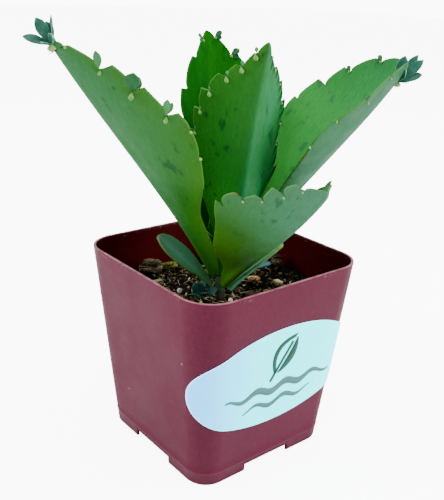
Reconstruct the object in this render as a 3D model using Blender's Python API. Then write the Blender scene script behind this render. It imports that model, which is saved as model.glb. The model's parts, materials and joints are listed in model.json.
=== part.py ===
"""Potted kalanchoe: a young mother-of-thousands plant in a square moulded nursery pot.

Metres, +Z up. Every piece is laid out about the pot's own vertical axis with the feet
on z = 0; at the end the whole plant is shifted sideways so that the middle of its
outline stands over the origin.
"""

import math
import random

import bmesh
import bpy
import numpy as np
from mathutils import Matrix, Vector, noise

MM = 0.001

# Fits between neighbouring pieces
FIT_GAP = 0.3 * MM
SEAT_GAP = 0.3 * MM

# Pot
POT_TOP_WIDTH = 57.0 * MM
POT_BASE_WIDTH = 46.0 * MM
POT_HEIGHT = 56.2 * MM
POT_TOP_CORNER = 9.2 * MM
POT_BASE_CORNER = 6.3 * MM
POT_WALL = 0.8 * MM
POT_RIM_ROUND = 0.3 * MM
FOOT_HEIGHT = 2.6 * MM
FOOT_NOTCH_WIDTH = 16.0 * MM
FLOOR_THICKNESS = 1.0 * MM
DRAIN_HOLE_DIAMETER = 5.0 * MM
DRAIN_HOLE_SPACING = 24.0 * MM
CORNER_STEPS = 6

# Label
LABEL_LENGTH = 58.0 * MM
LABEL_HEIGHT = 28.8 * MM
LABEL_MIDDLE_Z = 29.3 * MM
LABEL_THICKNESS = 0.25 * MM
LABEL_COLUMNS = 28
LABEL_ROWS = 4

# Potting mix
SOIL_BELOW_RIM = 12.6 * MM
SOIL_LEVEL = POT_HEIGHT - SOIL_BELOW_RIM
SOIL_RISE_TO_SIDE = 3.4 * MM
SOIL_ROUGHNESS = 0.7 * MM
SOIL_LUMPS_PER_METRE = (160.0, 330.0)
SOIL_RINGS = 5

# Stem
STEM_X = -2.0 * MM
STEM_Y = -2.0 * MM
STEM_BASE_RADIUS = 1.35 * MM
STEM_TIP_RADIUS = 0.85 * MM
STEM_HEIGHT = 11.4 * MM
STEM_TOP = SOIL_LEVEL + STEM_HEIGHT
STEM_LEAF_NODES = (2.9 * MM, 6.4 * MM)
STEM_DEPTH_IN_SOIL = 7.0 * MM
STEM_SIDES = 12
STEM_TIP_TAPER = 0.55

# Leaf blades
KEEL_THICKNESS = 1.7 * MM
MARGIN_THICKNESS = 0.8 * MM
KEEL_ROUNDNESS = 0.15
BLADE_STATIONS = (0.0, 0.12, 0.28, 0.45, 0.62, 0.8, 0.92, 1.0)
BLADE_COLUMNS = (0.0, 0.3, 0.66, 1.0)
NOTCH_DEPTH = 1.3 * MM
TOOTH_RISE = 0.6 * MM
FIRST_TOOTH_RUN = 0.10
TOOTH_CREST = 0.85
TOOTH_BOW = 0.7
CLOSEST_STATIONS = 0.012
FULL_TOOTH_HALF_WIDTH = 9.0 * MM

# Plantlets
BULBIL_LENGTH = 3.4 * MM
BULBIL_DIAMETER = 1.7 * MM
BULBIL_CLEAR_OF_TOOTH = 0.3 * MM
LENS_BULGE_TOWARDS_BASE = 0.8
PLANTLET_LEAVES = 5
TIP_PLANTLET_LEAF = 7.0 * MM
TIP_PLANTLET_WIDTH = 3.4 * MM
TIP_PLANTLET_LEAN = 48
SOIL_PLANTLET_LEAF = 3.4 * MM
SOIL_PLANTLET_WIDTH = 2.4 * MM
SOIL_PLANTLET_SPREAD = 62
PLANTLET_CORE_SHARE = 0.45
PLANTLET_LEAF_THICKNESS_SHARE = 0.42

# How far round a piece the mix is felt for before the piece is set down on it
CHIP_SEAT_REACH = 1.8 * MM
PLANTLET_SEAT_REACH = 0.9 * MM
CHIP_ROUNDING = 0.22
CHIP_RAGGEDNESS = 0.06

GREEN = (0.10, 0.33, 0.07)
BLUE_GREEN = (0.14, 0.32, 0.20)
DARK_GREEN = (0.03, 0.20, 0.05)
MAROON = (0.27, 0.09, 0.12)
PALE_CYAN = (0.62, 0.86, 0.90)
SOIL_BROWN = (0.035, 0.025, 0.018)
BARK_BROWN = (0.20, 0.13, 0.07)
PERLITE_WHITE = (0.80, 0.78, 0.72)


def deg(*angles):
    return tuple(math.radians(angle) for angle in angles)


def millimetres(*values):
    return tuple(value * MM for value in values)


# Each blade: how high above the mix it leaves the stem, the compass heading it leans to, its slope at base,
# middle and tip, length, fold of each half at base and tip, twist at base and tip, half
# widths at BLADE_STATIONS, and how far along each margin its notches lie.
LEAVES = {
    "leaf_left_large": dict(
        height=7.4 * MM, heading=181, swing=0, rise=(60, 52, 55), length=77.6 * MM,
        fold=(26, 47), twist=(-13, 1), curl=-6,
        half_widths=millimetres(1.4, 4.2, 6.6, 14.8, 18.2, 11.8, 4.6, 0.9),
        notches_left=(0.42, 0.53, 0.625, 0.70, 0.80, 0.89, 0.96),
        notches_right=(0.42, 0.55, 0.66, 0.77, 0.87),
        colour=GREEN,
    ),
    "leaf_right_large": dict(
        height=6.0 * MM, heading=325.5, swing=1, rise=(64, 50, 58), length=73.8 * MM,
        fold=(41, 50), twist=(-11, 18), curl=0,
        half_widths=millimetres(1.4, 3.4, 4.4, 11.4, 18.7, 14.7, 8.3, 1.0),
        notches_left=(0.42, 0.55, 0.66, 0.765, 0.86, 0.955),
        notches_right=(0.45, 0.57, 0.69, 0.805, 0.92),
        colour=GREEN,
    ),
    "leaf_front_upper": dict(
        height=8.0 * MM, heading=254, swing=1, rise=(66, 75, 70.5), length=65.8 * MM,
        fold=(43, 37), twist=(-11, 5), curl=5,
        half_widths=millimetres(1.2, 4.0, 8.0, 13.8, 14.6, 12.0, 6.1, 1.0),
        notches_left=(0.45, 0.55, 0.64, 0.73, 0.81, 0.88, 0.94),
        notches_right=(0.50, 0.62, 0.71, 0.79, 0.855, 0.90, 0.955),
        colour=GREEN,
    ),
    "leaf_back_upper": dict(
        height=8.0 * MM, heading=65, swing=10, rise=(85, 77.5, 58.5), length=65.2 * MM,
        fold=(30, 25), twist=(2, 4), curl=2,
        half_widths=millimetres(1.2, 4.4, 9.0, 12.4, 13.3, 9.9, 4.9, 1.0),
        notches_left=(0.50, 0.62, 0.74, 0.87, 0.95),
        notches_right=(0.50, 0.63, 0.76, 0.88, 0.965),
        colour=DARK_GREEN,
    ),
    "leaf_front_lower": dict(
        height=4.6 * MM, heading=263.5, swing=-1, rise=(45, 40, 51.5), length=54.0 * MM,
        fold=(38, 47), twist=(-4, -2), curl=0,
        half_widths=millimetres(1.4, 3.4, 10.6, 14.8, 18.2, 11.0, 7.5, 1.5),
        notches_left=(0.55, 0.68, 0.80, 0.91),
        notches_right=(0.60, 0.71, 0.78, 0.87, 0.95),
        colour=BLUE_GREEN,
    ),
    "leaf_back_lower": dict(
        height=4.6 * MM, heading=72, swing=0, rise=(52, 47, 56), length=38.0 * MM,
        fold=(36, 40), twist=(0, 0), curl=0,
        half_widths=millimetres(1.4, 3.0, 6.0, 9.0, 10.0, 7.2, 4.0, 1.2),
        notches_left=(0.55, 0.70, 0.85),
        notches_right=(0.55, 0.70, 0.85),
        colour=BLUE_GREEN,
    ),
    "leaf_left_small": dict(
        height=3.0 * MM, heading=147, swing=-1, rise=(52, 42, 47), length=21.2 * MM,
        fold=(20, 10), twist=(-15, -13), curl=-12,
        half_widths=millimetres(1.2, 2.2, 3.1, 4.6, 5.2, 4.7, 3.2, 1.3),
        notches_left=(), notches_right=(),
        colour=BLUE_GREEN,
    ),
    "leaf_right_small": dict(
        height=2.4 * MM, heading=330, swing=0, rise=(46, 40, 40), length=19.8 * MM,
        fold=(26, 18), twist=(0, 0), curl=-4,
        half_widths=millimetres(1.2, 2.0, 3.0, 4.3, 4.9, 4.2, 2.9, 1.2),
        notches_left=(), notches_right=(),
        colour=BLUE_GREEN,
    ),
    "young_leaf_left": dict(
        height=10.6 * MM, heading=180, swing=0, rise=(80, 75, 66), length=10.0 * MM,
        fold=(16, 12), twist=(0, 0), curl=0,
        half_widths=millimetres(0.5, 0.7, 0.9, 1.1, 1.2, 1.1, 0.9, 0.5),
        notches_left=(), notches_right=(),
        colour=GREEN,
    ),
    "young_leaf_right": dict(
        height=10.6 * MM, heading=330, swing=0, rise=(84, 82, 78), length=7.0 * MM,
        fold=(16, 12), twist=(0, 0), curl=0,
        half_widths=millimetres(0.5, 0.7, 0.9, 1.1, 1.1, 1.0, 0.8, 0.5),
        notches_left=(), notches_right=(),
        colour=GREEN,
    ),
}
YOUNG_LEAF_SCALE = 0.6

# Bulbils sit in these notches: leaf, side of the blade (+1 left of the keel as the leaf
# leaves the stem, -1 right), the notch's number counted from the base, and whether the
# bulbil hangs down behind the blade or stands out of the margin
BULBILS = (
    ("leaf_left_large", 1, 3, "hangs"),
    ("leaf_left_large", 1, 4, "hangs"),
    ("leaf_left_large", 1, 5, "hangs"),
    ("leaf_left_large", -1, 3, "stands"),
    ("leaf_right_large", 1, 4, "stands"),
    ("leaf_right_large", 1, 5, "stands"),
    ("leaf_right_large", -1, 3, "hangs"),
    ("leaf_front_upper", -1, 1, "hangs"),
    ("leaf_front_upper", -1, 2, "hangs"),
    ("leaf_front_upper", -1, 3, "hangs"),
    ("leaf_front_upper", -1, 4, "hangs"),
    ("leaf_front_upper", -1, 5, "hangs"),
    ("leaf_front_upper", -1, 6, "hangs"),
    ("leaf_back_upper", 1, 4, "stands"),
    ("leaf_back_upper", -1, 3, "stands"),
    ("leaf_back_upper", -1, 4, "stands"),
)

# Chips on the potting mix: x and y of the middle as shares of the mix's half width, then
# length, width and thickness in millimetres, tilt and turn
CHIPS = {
    "bark_chip_back_large": (-0.382, 0.783, 9.0, 5.0, 2.6, 24, 35),
    "bark_chip_back_curled": (-0.130, 0.818, 5.0, 2.6, 2.0, 10, 80),
    "bark_chip_back_pale": (-0.497, 0.516, 4.2, 2.4, 1.4, 6, 20),
    "bark_chip_back_left": (-0.764, 0.306, 4.6, 3.2, 1.8, 5, 50),
    "bark_chip_middle_orange": (0.401, -0.076, 4.6, 3.0, 1.8, 10, 60),
    "bark_chip_middle_dark": (0.138, -0.375, 4.4, 2.6, 1.6, 6, 10),
    "bark_chip_side_clump": (0.864, 0.057, 4.4, 3.4, 2.4, 8, 30),
    "bark_chip_side_tan": (0.554, -0.306, 3.4, 2.2, 1.4, 4, 75),
    "bark_chip_hidden_right": (0.497, -0.707, 5.0, 3.0, 1.8, 4, 15),
    "bark_chip_hidden_front": (-0.306, -0.650, 5.4, 3.2, 1.8, 5, 40),
    "leaf_scrap_dry": (0.172, 0.401, 5.0, 2.6, 1.0, 12, 100),
}
# Perlite grains: x and y as shares of the mix's half width, diameter in millimetres
PERLITE = {
    "perlite_1": (-0.443, 0.153, 2.2),
    "perlite_2": (-0.596, 0.382, 1.8),
    "perlite_3": (0.344, 0.573, 1.8),
    "perlite_4": (0.707, 0.076, 2.0),
    "perlite_5": (-0.134, -0.329, 1.8),
}


def clear_scene():
    for old in list(bpy.data.objects):
        bpy.data.objects.remove(old, do_unlink=True)


def material(name, colour, roughness=0.5, metallic=0.0):
    made = bpy.data.materials.new(name)
    made.use_nodes = True
    shader = made.node_tree.nodes["Principled BSDF"]
    shader.inputs["Base Color"].default_value = (*colour, 1.0)
    shader.inputs["Roughness"].default_value = roughness
    shader.inputs["Metallic"].default_value = metallic
    return made


def finish_object(name, mesh_data, finish):
    made = bpy.data.objects.new(name, mesh_data)
    bpy.context.scene.collection.objects.link(made)
    made.data.materials.clear()
    made.data.materials.append(finish)
    return made


def from_bmesh(name, bm, finish, smooth=False):
    bmesh.ops.recalc_face_normals(bm, faces=bm.faces)
    mesh_data = bpy.data.meshes.new(name)
    bm.to_mesh(mesh_data)
    bm.free()
    if smooth:
        mesh_data.shade_smooth()
    return finish_object(name, mesh_data, finish)


def subtract(target, cutter):
    cutter.hide_render = True
    cutter.display_type = "WIRE"
    cut = target.modifiers.new(cutter.name, "BOOLEAN")
    cut.operation = "DIFFERENCE"
    cut.solver = "EXACT"
    cut.object = cutter


def cutter_from(name, bm):
    mesh_data = bpy.data.meshes.new(name)
    bm.to_mesh(mesh_data)
    bm.free()
    made = bpy.data.objects.new(name, mesh_data)
    bpy.context.scene.collection.objects.link(made)
    return made


# ---------------------------------------------------------------- pot


def pot_share(z):
    return z / POT_HEIGHT


def pot_half_width(z):
    return (POT_BASE_WIDTH + (POT_TOP_WIDTH - POT_BASE_WIDTH) * pot_share(z)) / 2


def pot_corner(z):
    return POT_BASE_CORNER + (POT_TOP_CORNER - POT_BASE_CORNER) * pot_share(z)


def rounded_square(z, inset=0.0):
    """Points round the pot's outline at height z, moved inwards by inset."""
    half = pot_half_width(z) - inset
    radius = max(pot_corner(z) - inset, 0.5 * MM)
    points = []
    for quarter in range(4):
        turn = quarter * math.pi / 2
        centre = Vector((half - radius, half - radius))
        for step in range(CORNER_STEPS + 1):
            angle = step / CORNER_STEPS * math.pi / 2
            corner = centre + radius * Vector((math.cos(angle), math.sin(angle)))
            x = corner.x * math.cos(turn) - corner.y * math.sin(turn)
            y = corner.x * math.sin(turn) + corner.y * math.cos(turn)
            points.append(Vector((x, y, z)))
    return points


def loft(bm, rings, close_start=True, close_end=True):
    """Skins a list of closed rings with the same number of points."""
    rows = [[bm.verts.new(point) for point in ring] for ring in rings]
    for lower, upper in zip(rows, rows[1:]):
        count = len(lower)
        for i in range(count):
            j = (i + 1) % count
            bm.faces.new((lower[i], lower[j], upper[j], upper[i]))
    if close_start:
        bm.faces.new(list(reversed(rows[0])))
    if close_end:
        bm.faces.new(rows[-1])


def make_pot():
    floor_top = FOOT_HEIGHT + FLOOR_THICKNESS
    bm = bmesh.new()
    loft(
        bm,
        [
            rounded_square(FOOT_HEIGHT, POT_WALL),
            rounded_square(0.0, POT_WALL),
            rounded_square(0.0),
            rounded_square(POT_HEIGHT - POT_RIM_ROUND),
            rounded_square(POT_HEIGHT, POT_RIM_ROUND),
            rounded_square(POT_HEIGHT, POT_WALL - POT_RIM_ROUND),
            rounded_square(POT_HEIGHT - POT_RIM_ROUND, POT_WALL),
            rounded_square(floor_top, POT_WALL),
        ],
    )
    pot = from_bmesh("pot", bm, material("pot_plastic", MAROON, 0.42))

    notches = bmesh.new()
    for along in (0, 1):
        size = Vector((FOOT_NOTCH_WIDTH, POT_TOP_WIDTH * 2, FOOT_HEIGHT * 2))
        if along:
            size.x, size.y = size.y, size.x
        box = bmesh.ops.create_cube(notches, size=1.0, matrix=Matrix.Diagonal((*size, 1.0)))
        lift = Vector((0, 0, -FOOT_HEIGHT * 0.15))
        bmesh.ops.translate(notches, verts=box["verts"], vec=lift)
        cutter = cutter_from(f"foot_notch_cutter_{along}", notches)
        subtract(pot, cutter)
        notches = bmesh.new()
    notches.free()

    for ix in (-1, 1):
        for iy in (-1, 1):
            drill = bmesh.new()
            place = Matrix.Translation(
                (ix * DRAIN_HOLE_SPACING / 2, iy * DRAIN_HOLE_SPACING / 2, floor_top)
            )
            bmesh.ops.create_cone(
                drill, cap_ends=True, segments=12, depth=FLOOR_THICKNESS * 4,
                radius1=DRAIN_HOLE_DIAMETER / 2, radius2=DRAIN_HOLE_DIAMETER / 2, matrix=place,
            )
            subtract(pot, cutter_from(f"drain_cutter_{ix}_{iy}", drill))
    return pot


# ---------------------------------------------------------------- label


def pot_skin_point(along, z, outset):
    """Point on the pot's wall: along runs from the middle of the front (-Y) face."""
    half = pot_half_width(z)
    radius = pot_corner(z)
    flat = half - radius
    arc = radius * math.pi / 2
    side = 1 if along >= 0 else -1
    run = abs(along)
    reach = radius + outset
    if run <= flat:
        x, y = run, -(half + outset)
    elif run <= flat + arc:
        angle = (run - flat) / radius
        x = flat + reach * math.sin(angle)
        y = -flat - reach * math.cos(angle)
    else:
        x, y = half + outset, -flat + (run - flat - arc)
    return Vector((side * x, y, z))


def make_label():
    bm = bmesh.new()
    layers = []
    for outset in (FIT_GAP, FIT_GAP + LABEL_THICKNESS):
        grid = []
        for i in range(LABEL_COLUMNS + 1):
            across = -math.cos(math.pi * (i + 0.6) / (LABEL_COLUMNS + 1.2))
            reach = math.sqrt(1 - across * across)
            column = []
            for j in range(LABEL_ROWS + 1):
                up = (2 * j / LABEL_ROWS - 1) * reach * LABEL_HEIGHT / 2
                place = pot_skin_point(across * LABEL_LENGTH / 2, LABEL_MIDDLE_Z + up, outset)
                column.append(bm.verts.new(place))
            grid.append(column)
        layers.append(grid)
    close_sheet_pair(bm, layers[0], layers[1])
    return from_bmesh("label", bm, material("label_film", PALE_CYAN, 0.35))


def close_sheet_pair(bm, inner, outer):
    """Faces of two matching grids of vertices, joined round their edges."""
    rows, columns = len(inner), len(inner[0])
    for i in range(rows - 1):
        for j in range(columns - 1):
            for grid, order in ((outer, (0, 1, 2, 3)), (inner, (3, 2, 1, 0))):
                corners = (
                    grid[i][j], grid[i + 1][j], grid[i + 1][j + 1], grid[i][j + 1],
                )
                bm.faces.new([corners[k] for k in order])
    edge = [(i, 0) for i in range(rows)]
    edge += [(rows - 1, j) for j in range(1, columns)]
    edge += [(i, columns - 1) for i in range(rows - 2, -1, -1)]
    edge += [(0, j) for j in range(columns - 2, 0, -1)]
    for (a, b), (c, d) in zip(edge, edge[1:] + edge[:1]):
        bm.faces.new((inner[a][b], inner[c][d], outer[c][d], outer[a][b]))


# ---------------------------------------------------------------- potting mix


def mix_half_width():
    return pot_half_width(SOIL_LEVEL) - POT_WALL - FIT_GAP


def soil_height(x, y):
    """Height of the potting mix: higher towards the +X wall, and lumpy."""
    side = max(x / (POT_TOP_WIDTH / 2), 0.0)
    broad, fine = SOIL_LUMPS_PER_METRE
    lump = noise.noise(Vector((x, y, 0.0)) * broad)
    lump += 0.5 * noise.noise(Vector((y, x, 0.1)) * fine)
    return SOIL_LEVEL + SOIL_RISE_TO_SIDE * side * side + SOIL_ROUGHNESS * lump


def make_soil():
    bottom = FOOT_HEIGHT + FLOOR_THICKNESS + FIT_GAP
    inset = POT_WALL + FIT_GAP
    edge = rounded_square(SOIL_LEVEL, inset)
    rings = [rounded_square(bottom, inset)]
    for ring in range(SOIL_RINGS + 1):
        share = 1.0 - ring / (SOIL_RINGS + 0.5)
        inner = [(point.x * share, point.y * share) for point in edge]
        rings.append([Vector((x, y, soil_height(x, y))) for x, y in inner])
    bm = bmesh.new()
    loft(bm, rings)
    bmesh.ops.triangulate(bm, faces=[f for f in bm.faces if len(f.verts) > 4])
    soil = from_bmesh("soil", bm, material("potting_mix", SOIL_BROWN, 0.95))

    well = bmesh.new()
    top = SOIL_LEVEL + STEM_BASE_RADIUS * 4
    low = soil_height(STEM_X, STEM_Y) - STEM_DEPTH_IN_SOIL - FIT_GAP
    place = Matrix.Translation((STEM_X, STEM_Y, (top + low) / 2))
    bmesh.ops.create_cone(
        well, cap_ends=True, segments=STEM_SIDES, depth=top - low,
        radius1=STEM_BASE_RADIUS + FIT_GAP * 1.1, radius2=STEM_BASE_RADIUS + FIT_GAP * 1.1,
        matrix=place,
    )
    subtract(soil, cutter_from("stem_well_cutter", well))
    return soil


# ---------------------------------------------------------------- plant


def stem_radius(z):
    low = SOIL_LEVEL
    share = min(max((z - low) / (STEM_TOP - low), 0.0), 1.0)
    return STEM_BASE_RADIUS + (STEM_TIP_RADIUS - STEM_BASE_RADIUS) * share


def make_stem():
    bottom = soil_height(STEM_X, STEM_Y) - STEM_DEPTH_IN_SOIL
    levels = [bottom, SOIL_LEVEL]
    levels += [SOIL_LEVEL + node for node in STEM_LEAF_NODES]
    levels += [STEM_TOP - STEM_TIP_RADIUS / 2, STEM_TOP]
    rings = []
    for z in levels:
        radius = stem_radius(z) * (STEM_TIP_TAPER if z == STEM_TOP else 1.0)
        rings.append(
            [
                Vector((
                    STEM_X + radius * math.cos(2 * math.pi * i / STEM_SIDES),
                    STEM_Y + radius * math.sin(2 * math.pi * i / STEM_SIDES),
                    z,
                ))
                for i in range(STEM_SIDES)
            ]
        )
    bm = bmesh.new()
    loft(bm, rings)
    return from_bmesh("stem", bm, material("stem_green", GREEN, 0.5), smooth=True)


def smooth_through(stations, values, where):
    """Monotone cubic through values at stations, read at where."""
    stations = np.asarray(stations)
    values = np.asarray(values)
    step = np.diff(stations)
    slope = np.diff(values) / step
    tangent = np.zeros(len(values))
    for i in range(1, len(values) - 1):
        if slope[i - 1] * slope[i] > 0:
            first = 2 * step[i] + step[i - 1]
            second = step[i] + 2 * step[i - 1]
            tangent[i] = (first + second) / (first / slope[i - 1] + second / slope[i])
    tangent[0] = slope[0]
    tangent[-1] = slope[-1]
    k = np.clip(np.searchsorted(stations, where) - 1, 0, len(step) - 1)
    t = (where - stations[k]) / step[k]
    return (
        (2 * t**3 - 3 * t**2 + 1) * values[k]
        + (t**3 - 2 * t**2 + t) * step[k] * tangent[k]
        + (3 * t**2 - 2 * t**3) * values[k + 1]
        + (t**3 - t**2) * step[k] * tangent[k + 1]
    )


def leaf_base(leaf):
    height = SOIL_LEVEL + leaf["height"]
    heading = math.radians(leaf["heading"])
    slope = math.radians(leaf["rise"][0])
    out = stem_radius(height) + FIT_GAP * 1.5 + KEEL_THICKNESS / 2 * math.sin(slope)
    return np.array([
        STEM_X + out * math.cos(heading),
        STEM_Y + out * math.sin(heading),
        height,
    ])


def keel_frame(leaf, u):
    """Keel points, run, leftward and upward directions of a blade at shares u of its length."""
    s = np.linspace(0.0, 1.0, 101)
    base, middle, tip = leaf["rise"]
    rise = base * (1 - s) * (1 - 2 * s) + middle * 4 * s * (1 - s) + tip * s * (2 * s - 1)
    rise = np.radians(rise)
    heading = np.radians(leaf["heading"] + leaf["swing"] * s)
    run = np.stack(
        [np.cos(rise) * np.cos(heading), np.cos(rise) * np.sin(heading), np.sin(rise)], 1
    )
    steps = (run[1:] + run[:-1]) / 2 * leaf["length"] / (len(s) - 1)
    keel = leaf_base(leaf) + np.concatenate([np.zeros((1, 3)), np.cumsum(steps, 0)])
    up = np.stack(
        [-np.sin(rise) * np.cos(heading), -np.sin(rise) * np.sin(heading), np.cos(rise)], 1
    )
    left = np.cross(up, run)
    twist = np.radians(leaf["twist"][0] + (leaf["twist"][1] - leaf["twist"][0]) * s)[:, None]
    left, up = np.cos(twist) * left + np.sin(twist) * up, np.cos(twist) * up - np.sin(twist) * left
    return [
        np.stack([np.interp(u, s, axis[:, k]) for k in range(3)], 1)
        for axis in (keel, run, left, up)
    ]


def margin_shift(u, notches):
    """How far the margin steps in at its notches and out at the teeth between them."""
    shift = np.zeros_like(u)
    if not notches:
        return shift
    starts = np.array((notches[0] - FIRST_TOOTH_RUN, *notches))
    for low, high in zip(starts, starts[1:]):
        share = (u - low) / (high - low)
        inside = (share > 0) & (share <= 1)
        climb = np.where(share < TOOTH_CREST, share / TOOTH_CREST, (1 - share) / (1 - TOOTH_CREST))
        tooth = -NOTCH_DEPTH + (NOTCH_DEPTH + TOOTH_RISE) * np.clip(climb, 0, 1) ** TOOTH_BOW
        shift = np.where(inside, tooth, shift)
    return shift


def blade_points(leaf, u, v, side):
    """Mid-surface points of one half blade: u along the keel, v from keel to margin."""
    keel, _, left, up = keel_frame(leaf, u)
    width = smooth_through(BLADE_STATIONS, leaf["half_widths"], u)
    notches = leaf["notches_left"] if side > 0 else leaf["notches_right"]
    shift = margin_shift(u, notches) * np.clip(width / FULL_TOOTH_HALF_WIDTH, 0.0, 1.0)
    fine = np.linspace(0.0, 1.2, 49)
    fold = np.radians(leaf["fold"][0] + (leaf["fold"][1] - leaf["fold"][0]) * u)[:, None]
    slope = fold * (1 - np.exp(-fine / KEEL_ROUNDNESS)) + np.radians(leaf["curl"]) * fine**2
    step = fine[1] - fine[0]
    zero = np.zeros((len(u), 1))
    sideways = (np.cos(slope[:, 1:]) + np.cos(slope[:, :-1])) / 2 * step
    upwards = (np.sin(slope[:, 1:]) + np.sin(slope[:, :-1])) / 2 * step
    across = np.concatenate([zero, np.cumsum(sideways, 1)], 1)
    raised = np.concatenate([zero, np.cumsum(upwards, 1)], 1)
    points = np.zeros((len(u), len(v), 3))
    for j, share in enumerate(v):
        reach = share + shift / width * share**4
        for i in range(len(u)):
            x = np.interp(reach[i], fine, across[i]) * width[i]
            z = np.interp(reach[i], fine, raised[i]) * width[i]
            points[i, j] = keel[i] + side * x * left[i] + z * up[i]
    return points


def blade_thickness(along, out):
    """Thickness at a share along the keel and a share out from it to the margin."""
    spare = KEEL_THICKNESS - MARGIN_THICKNESS
    return MARGIN_THICKNESS + spare * (1 - out) * (1 - 0.5 * along)


def blade_stations(leaf):
    """Shares of the length where a blade has a row of points: its notches and teeth too."""
    wanted = [0.0, 0.05, 0.12, 0.2, 0.28, 0.36, 0.45, 0.62, 0.8, 0.92, 0.97, 1.0]
    for notches in (leaf["notches_left"], leaf["notches_right"]):
        starts = (notches[0] - FIRST_TOOTH_RUN, *notches) if notches else ()
        for low, high in zip(starts, starts[1:]):
            wanted += [high, low + TOOTH_CREST * (high - low)]
    kept = []
    for share in sorted(wanted):
        if kept and share - kept[-1] < CLOSEST_STATIONS:
            continue
        kept.append(share)
    kept[-1] = 1.0
    return np.array(kept)


def make_leaf(name, leaf):
    u = blade_stations(leaf)
    v = np.array(BLADE_COLUMNS)
    left = blade_points(leaf, u, v, 1)
    right = blade_points(leaf, u, v[1:], -1)
    rows = np.concatenate([left[:, ::-1], right], 1)
    columns = rows.shape[1]
    mesh_data = bpy.data.meshes.new(name)
    faces = []
    for i in range(len(u) - 1):
        for j in range(columns - 1):
            a = i * columns + j
            faces.append((a, a + 1, a + columns + 1, a + columns))
    mesh_data.from_pydata([tuple(p) for p in rows.reshape(-1, 3)], [], faces)
    mesh_data.shade_smooth()
    made = finish_object(name, mesh_data, material(name + "_skin", leaf["colour"], 0.45))
    group = made.vertex_groups.new(name="thickness")
    young = YOUNG_LEAF_SCALE if name.startswith("young") else 1.0
    shares = [*reversed(BLADE_COLUMNS), *BLADE_COLUMNS[1:]]
    for i, along in enumerate(u):
        for j, out in enumerate(shares):
            group.add([i * columns + j], blade_thickness(along, out) / KEEL_THICKNESS, "REPLACE")
    shell = made.modifiers.new("blade thickness", "SOLIDIFY")
    shell.thickness = KEEL_THICKNESS * young
    shell.offset = 0.0
    shell.vertex_group = group.name
    return made


def lens(bm, length, width, thickness, steps=6, sides=6):
    """A small fat leaf or seed along +X from the origin, pointed at both ends."""
    rings = []
    for i in range(1, steps):
        share = i / steps
        swell = math.sin(math.pi * share**LENS_BULGE_TOWARDS_BASE)
        rings.append(
            [
                Vector((
                    length * share,
                    width / 2 * swell * math.cos(2 * math.pi * k / sides),
                    thickness / 2 * swell * math.sin(2 * math.pi * k / sides),
                ))
                for k in range(sides)
            ]
        )
    rows = [[bm.verts.new(point) for point in ring] for ring in rings]
    for lower, upper in zip(rows, rows[1:]):
        for i in range(sides):
            j = (i + 1) % sides
            bm.faces.new((lower[i], lower[j], upper[j], upper[i]))
    for row, tip in ((rows[0], 0.0), (rows[-1], length)):
        point = bm.verts.new((tip, 0, 0))
        for i in range(sides):
            bm.faces.new((row[i], row[(i + 1) % sides], point))


def aim(place, direction, roll=0.0):
    """Matrix that puts +X of a piece along direction at place."""
    turn = Vector(direction).to_track_quat("X", "Z").to_matrix().to_4x4()
    return Matrix.Translation(place) @ turn @ Matrix.Rotation(roll, 4, "X")


def notch_seat(leaf, side, number):
    """The bottom of a notch, with the ways out of the margin, on along it and up off the blade."""
    notches = leaf["notches_left"] if side > 0 else leaf["notches_right"]
    u = np.array([notches[number]])
    edge = blade_points(leaf, u, np.array([0.5, 1.0]), side)
    outward = Vector(edge[0, 1] - edge[0, 0]).normalized()
    run = Vector(keel_frame(leaf, u)[1][0])
    up = (run.cross(outward) * -side).normalized()
    return Vector(edge[0, 1]), outward, run, up


def make_bulbils():
    counts = {}
    for leaf_name, side, number, stance in BULBILS:
        seat, outward, run, up = notch_seat(LEAVES[leaf_name], side, number)
        counts[leaf_name] = counts.get(leaf_name, 0) + 1
        name = leaf_name.replace("leaf", "bulbil") + f"_{counts[leaf_name]}"
        clear = MARGIN_THICKNESS / 2 + FIT_GAP
        if stance == "hangs":
            start = seat - up * (clear + BULBIL_DIAMETER * 0.3) + outward * clear
            direction = outward * 0.15 - run * 0.7 - up * 0.5
        else:
            start = seat + outward * (clear + BULBIL_CLEAR_OF_TOOTH)
            direction = outward * 0.95 + run * 0.15
        bm = bmesh.new()
        lens(bm, BULBIL_LENGTH, BULBIL_DIAMETER, BULBIL_DIAMETER, steps=5)
        bmesh.ops.transform(bm, matrix=aim(start, direction.normalized()), verts=bm.verts)
        from_bmesh(name, bm, material(name + "_skin", BLUE_GREEN, 0.4), smooth=True)


def union_of(name, solids, finish):
    """Joins overlapping solids into one closed body."""
    first, *rest = solids
    for other in rest:
        join = first.modifiers.new(other.name, "BOOLEAN")
        join.operation = "UNION"
        join.solver = "EXACT"
        join.object = other
        other.hide_render = True
        other.display_type = "WIRE"
    first.name = name
    first.data.materials.clear()
    first.data.materials.append(finish)
    return first


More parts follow.
